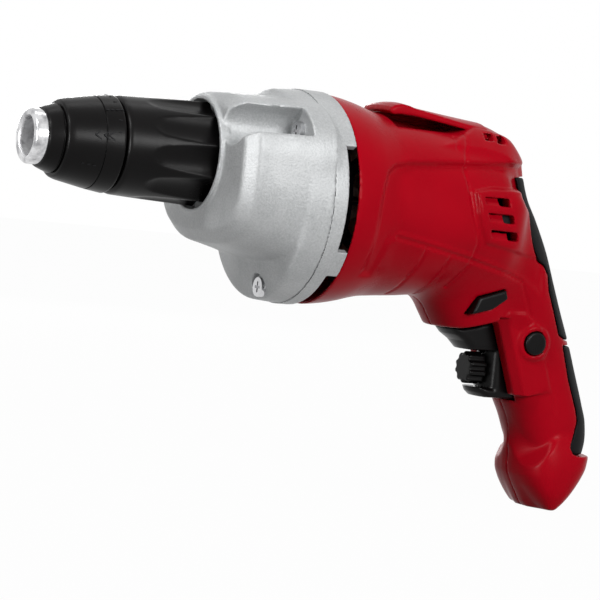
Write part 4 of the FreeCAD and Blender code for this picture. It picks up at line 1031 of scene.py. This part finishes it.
def steel_mouth():
    """A steel tube with a rounded front edge."""
    edge_radius = 1.65
    edge_x = 1.67
    edge_middle = 9.15
    edge_steps = 17
    turns = np.linspace(-math.pi / 2, math.pi / 2, edge_steps)
    outline = [(edge_x - edge_radius * math.cos(a), edge_middle + edge_radius * math.sin(a)) for a in turns]
    outline += rounded([(5.3, 10.8), (5.3, 9.4), (19.3, 9.4), (19.3, 7.5)], radius=0.3)
    finished(spun("steel_mouth", outline), "nose", "nose_tip", "bright_steel", mouth_steel)


def nose_sleeve():
    """A stepped cone with two grooves around it."""
    cone = [
        (5.3, 9.4), (5.3, 11.4), (6.1, 11.9), (10.7, 13.6), (10.7, 12.8), (11.5, 12.8), (11.5, 14.9),
        (13.8, 15.8), (26.0, 18.1), (26.0, 17.7), (26.5, 17.7), (26.5, 18.2), (33.4, 19.2), (34.2, 18.7),
        (34.2, 12.05), (19.3, 12.05), (19.3, 9.4),
    ]
    finished(spun("nose_sleeve", rounded(cone, radius=1.1, steps=6)), "nose", "nose_cone", "black_plastic")


# Length, width and height of the raised bars on the nose, and the angles of the arms of its arrows.
ARM = (3.1, 0.8, 0.5)
DASH = (1.3, 0.8, 0.6)
TICK = (1.8, 0.8, 0.5)
UPPER_ARM = 166.9
LOWER_ARM = 172.7
ARM_TILT = 35.0


def bar_row(count, station, radius, angle, advance=0.0, flare=0.0, turn=0.0, tilt=0.0, bar=DASH):
    """Inputs of a row of bars, turned from millimetres and degrees into metres and radians."""
    return {
        "Count": count, "Station": station * MM, "Advance": advance * MM,
        "Radius": radius * MM, "Flare": flare * MM, "Angle": math.radians(angle),
        "Turn": math.radians(turn), "Tilt": math.radians(tilt), "Bar": tuple(size * MM for size in bar),
    }


NOSE_MARKS = {
    "first_arrow_upper": bar_row(1, 23.0, 17.35, UPPER_ARM, tilt=ARM_TILT, bar=ARM),
    "first_arrow_lower": bar_row(1, 23.0, 17.35, LOWER_ARM, tilt=-ARM_TILT, bar=ARM),
    "arrow_pair_upper": bar_row(2, 26.3, 18.0, UPPER_ARM, 1.9, 0.28, tilt=ARM_TILT, bar=ARM),
    "arrow_pair_lower": bar_row(2, 26.3, 18.0, LOWER_ARM, 1.9, 0.28, tilt=-ARM_TILT, bar=ARM),
    "upper_dashes": bar_row(4, 27.4, 18.15, 135.4, 1.9, 0.28),
    "lower_dashes": bar_row(3, 18.8, 16.4, 209.6, 2.2, 0.48),
    "index_ticks": bar_row(9, 31.9, 18.68, 60.0, turn=15.0, bar=TICK),
}


def bar_group():
    """A row of small bars along and around the X axis, each turned to face outwards."""
    group = bpy.data.node_groups.new("bar_row", "GeometryNodeTree")
    group.interface.new_socket("Geometry", in_out="OUTPUT", socket_type="NodeSocketGeometry")
    group.interface.new_socket("Count", in_out="INPUT", socket_type="NodeSocketInt")
    for name in ("Station", "Advance", "Radius", "Flare", "Angle", "Turn", "Tilt"):
        group.interface.new_socket(name, in_out="INPUT", socket_type="NodeSocketFloat")
    group.interface.new_socket("Bar", in_out="INPUT", socket_type="NodeSocketVector")
    group.interface.new_socket("Finish", in_out="INPUT", socket_type="NodeSocketMaterial")
    nodes = Nodes(group)
    node = nodes.node

    def given(name):
        return node("NodeGroupInput", {}, {}, name)

    def wave(operation, angle):
        return node("ShaderNodeMath", {"operation": operation}, {0: angle})

    index = node("GeometryNodeInputIndex", {}, {})
    angle = index * given("Turn") + given("Angle")
    radius = index * given("Flare") + given("Radius")
    station = index * given("Advance") + given("Station")
    across = wave("COSINE", angle) * radius
    upward = wave("SINE", angle) * radius
    place = node("ShaderNodeCombineXYZ", {}, {0: station, 1: across, 2: upward})
    points = node("GeometryNodePoints", {}, {"Count": given("Count"), "Position": place})
    tilt = node("ShaderNodeCombineXYZ", {}, {1: given("Tilt")})
    cube = node("GeometryNodeMeshCube", {}, {"Size": given("Bar")})
    bar = node("GeometryNodeTransform", {}, {"Geometry": cube, "Rotation": tilt})
    roll = node("ShaderNodeCombineXYZ", {}, {0: angle})
    bars = node("GeometryNodeInstanceOnPoints", {}, {"Points": points, "Instance": bar, "Rotation": roll})
    solid = node("GeometryNodeRealizeInstances", {}, {"Geometry": bars})
    painted = node("GeometryNodeSetMaterial", {}, {"Geometry": solid, "Material": given("Finish")})
    nodes.link(group.nodes.new("NodeGroupOutput").inputs["Geometry"], painted)
    return group


def nose_marks():
    group = bar_group()
    for name, settings in NOSE_MARKS.items():
        piece = bpy.data.objects.new(name, bpy.data.meshes.new(name))
        bpy.context.scene.collection.objects.link(piece)
        modifier = piece.modifiers.new("bars", "NODES")
        modifier.node_group = group
        # The marks take the lighter inner grey as a painted highlight, standing in for the light caught on
        # their edges.
        settings = dict(settings, Finish=inner_plastic)
        for socket in group.interface.items_tree:
            if socket.in_out == "INPUT":
                modifier[socket.identifier] = settings[socket.name]
        mesh = applied(piece)
        mesh.materials.clear()
        mesh.materials.append(inner_plastic)
        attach(piece, "nose")


# controls, cable gland and belt clip

def trigger_lever():
    """The trigger, with holes from behind for its spring and for the stem of the speed dial."""
    spring_z = -66.5
    spring_hole = 3.7
    spring_front = 211.5
    stem_hole = 2.05
    stem_front = 210.0

    def cut(field, x, y, z):
        field = np.maximum(field, -np.maximum(np.hypot(y, z - spring_z) - spring_hole, spring_front - x))
        return np.maximum(field, -np.maximum(np.hypot(y, z - DIAL_Z) - stem_hole, stem_front - x))

    piece = rounded_bar("trigger_lever", TRIGGER, half_width=8.5, step=0.5, soft=2.0, set_back=3.0, cut=cut)
    finished(piece, "trigger", "trigger", "black_plastic")


def dial_knob():
    """The speed dial: a scalloped knob on a stem."""
    step = 0.4
    half_width = 8.5
    knob_radius = 6.8
    knob_front = 206.2
    knob_rear = 214.3
    scallops = 10
    scallop_radius = 1.3
    stem_radius = 2.0
    low = (201.5, -half_width, DIAL_Z - half_width)
    x, y, z = grid(low, (218.5, half_width, DIAL_Z + half_width), step)
    radius = np.hypot(y, z - DIAL_Z)
    knob = blend_max(blend_max(radius - knob_radius, knob_front - x, soft=1.2), x - knob_rear, soft=1.0)
    for at in range(scallops):
        turn = 2 * math.pi * at / scallops
        spot = np.hypot(y - knob_radius * math.cos(turn), z - DIAL_Z - knob_radius * math.sin(turn))
        knob = blend_max(knob, scallop_radius - spot, soft=0.4)
    stem = np.maximum(radius - stem_radius, between(x, low=207.0, high=216.8))
    finished(formed("dial_knob", low, step, np.minimum(knob, stem)), "dial", "speed_dial", "black_plastic")


def lock_cap():
    """The lock button in the left half."""
    step = 0.4
    half_width = 6.5
    radius = 5.0
    outer_y = -20.0
    inner_y = -13.0
    low = (LOCK_X - half_width, -21.2, LOCK_Z - half_width)
    x, y, z = grid(low, (LOCK_X + half_width, -12.0, LOCK_Z + half_width), step)
    around = np.hypot(x - LOCK_X, z - LOCK_Z)
    button = blend_max(blend_max(around - radius, outer_y - y, soft=1.2), y - inner_y, soft=0.4)
    finished(formed("lock_cap", low, step, button), "lock", "lock_button", "black_plastic")


def reverse_bar():
    """The slide that reaches through both halves above the trigger."""
    piece = rounded_bar("reverse_bar", SLIDE, half_width=22.8, step=0.5, soft=1.0)
    finished(piece, "reverser", "reverse_slide", "black_plastic")


def gland_sleeve():
    """The short rubber sleeve in the handle's base, along the handle's lean."""
    inner = 2.0
    outer = 3.2
    start = 2.5
    end = 9.0
    outline = [(start, inner), (start, outer), (end, outer), (end, inner)]
    gland = spun("gland_sleeve", rounded(outline, radius=0.4), segments=48)
    upright = Matrix.Rotation(-math.pi / 2 - LEAN, 4, "Y")
    gland.data.transform(Matrix.Translation((GLAND_X * MM, 0, BASE_Z * MM)) @ upright)
    finished(gland, "housing", "cable_gland", "soft_rubber")


def belt_tongue():
    """The belt clip: a tongue that is arched across, and a lip along its right edge."""
    step = 0.5
    half_width = 12.0
    front_arch = 0.8
    more_arch = 2.3
    arch_power = 2.2
    lip_y = 10.75
    lip_half = 1.25
    low = (147.0, -13.5, 18.0)
    x, y, z = grid(low, (202.0, 13.5, 31.0), step)
    arch = (front_arch + more_arch * ease(155.0, 200.0, x)) * (np.abs(y) / half_width) ** arch_power
    tongue = blend_max(outline_distance(CLIP, x, z + arch), np.abs(y) - half_width, soft=1.0)
    lip = blend_max(outline_distance(CLIP_LIP, x, z), np.abs(y - lip_y) - lip_half, soft=0.6)
    piece = formed("belt_tongue", low, step, np.minimum(tongue, lip))
    finished(piece, "housing", "belt_clip", "red_plastic")


# studio, in metres

CAMERA_PLACE = Vector((-0.3696, -0.9302, -0.0083))
CAMERA_RIGHT = Vector((0.8799, -0.4634, 0.1047))
CAMERA_BACK = Vector((-0.4696, -0.8818, 0.0436))
SENSOR_MM = 36.0
LENS_MM = 156.0
LAMP_AIM = Vector((0.14, 0.0, -0.03))
# Place, size and power of each lamp, and whether it gives only reflections.
LAMPS = {
    "front_light": ((0.30, -1.22, 0.36), (0.7, 0.35), 12.0, False),
    "left_light": ((-0.80, -0.36, 0.85), (0.3, 0.3), 8.0, False),
    "left_glint": ((-0.90, -0.62, 0.02), (0.16, 0.5), 13.0, True),
    "top_light": ((0.15, 0.30, 0.90), (0.9, 0.2), 1.2, False),
    "rear_light": ((0.35, 1.25, 0.20), (0.7, 0.35), 7.0, False),
}


def plain_sight(nodes):
    """One for rays from the camera, from a mirror or through glass, zero for the rest."""
    names = ("Is Camera Ray", "Is Glossy Ray", "Is Transmission Ray")
    straight, mirror, glass = (nodes.node("ShaderNodeLightPath", {}, {}, name) for name in names)
    seen = straight.math("MAXIMUM", straight, mirror)
    return seen.math("MAXIMUM", seen, glass)


def camera():
    """The view of the photo, through a long lens."""
    scene = bpy.context.scene
    item = bpy.data.objects.new("camera", bpy.data.cameras.new("camera"))
    scene.collection.objects.link(item)
    right = CAMERA_RIGHT.normalized()
    back = CAMERA_BACK.normalized()
    up = back.cross(right)
    place = Matrix((right, up, back)).transposed().to_4x4()
    place.translation = CAMERA_PLACE
    item.matrix_world = place
    item.data.sensor_width = SENSOR_MM
    item.data.lens = LENS_MM
    item.data.clip_start = 0.05
    scene.camera = item


def pale_floor():
    """White where it is seen, apart from a faint shadow, and grey to the light that falls on it."""
    glow_share = 0.98
    finish = Finish("pale_floor")
    finish.set("Base Color", (0.3, 0.3, 0.3, 1))
    finish.set("Roughness", 0.9)
    finish.set("Specular IOR Level", 0.0)
    grey = Value(finish, finish.shader.outputs[0])
    glow = finish.node("ShaderNodeEmission", {}, {"Strength": 1.0})
    share = plain_sight(finish) * glow_share
    surface = finish.node("ShaderNodeMixShader", {}, {0: share, 1: grey, 2: glow})
    finish.link(finish.tree.nodes["Material Output"].inputs["Surface"], surface)
    return finish.material


def floor():
    half_width = 4.0
    middle_x = 0.1
    gap = 0.0005
    corners = np.array([(-1, -1, 0), (1, -1, 0), (1, 1, 0), (-1, 1, 0)], float) * half_width
    item = mesh_object("floor", corners + (middle_x, 0, BASE_Z * MM - gap), np.array([[0, 1, 2, 3]]))
    item.data.materials.append(pale_floor())


def white_surroundings():
    """White where they are seen, and a low even light on the tool."""
    even_light = 0.07
    world = bpy.data.worlds.new("studio_white")
    bpy.context.scene.world = world
    world.use_nodes = True
    nodes = Nodes(world.node_tree)
    backdrop = world.node_tree.nodes["Background"].inputs
    nodes.link(backdrop["Color"], (1, 1, 1, 1))
    level = nodes.node("ShaderNodeMapRange", {}, {0: plain_sight(nodes), 3: even_light, 4: 1.0})
    nodes.link(backdrop["Strength"], level)


def lamps():
    for name, (spot, size, power, gloss_only) in LAMPS.items():
        light = bpy.data.lights.new(name, "AREA")
        light.shape = "RECTANGLE"
        light.size, light.size_y = size
        light.energy = power
        item = bpy.data.objects.new(name, light)
        bpy.context.scene.collection.objects.link(item)
        item.location = spot
        item.visible_diffuse = not gloss_only
        item.rotation_euler = (LAMP_AIM - Vector(spot)).to_track_quat("-Z", "Y").to_euler()


def studio():
    bpy.context.scene.view_settings.view_transform = "Standard"
    camera()
    floor()
    white_surroundings()
    lamps()


housing_pieces()
pads()
gear_case()
outlet_ring()
collar()
steel_mouth()
nose_sleeve()
nose_marks()
trigger_lever()
dial_knob()
lock_cap()
reverse_bar()
gland_sleeve()
belt_tongue()
studio()
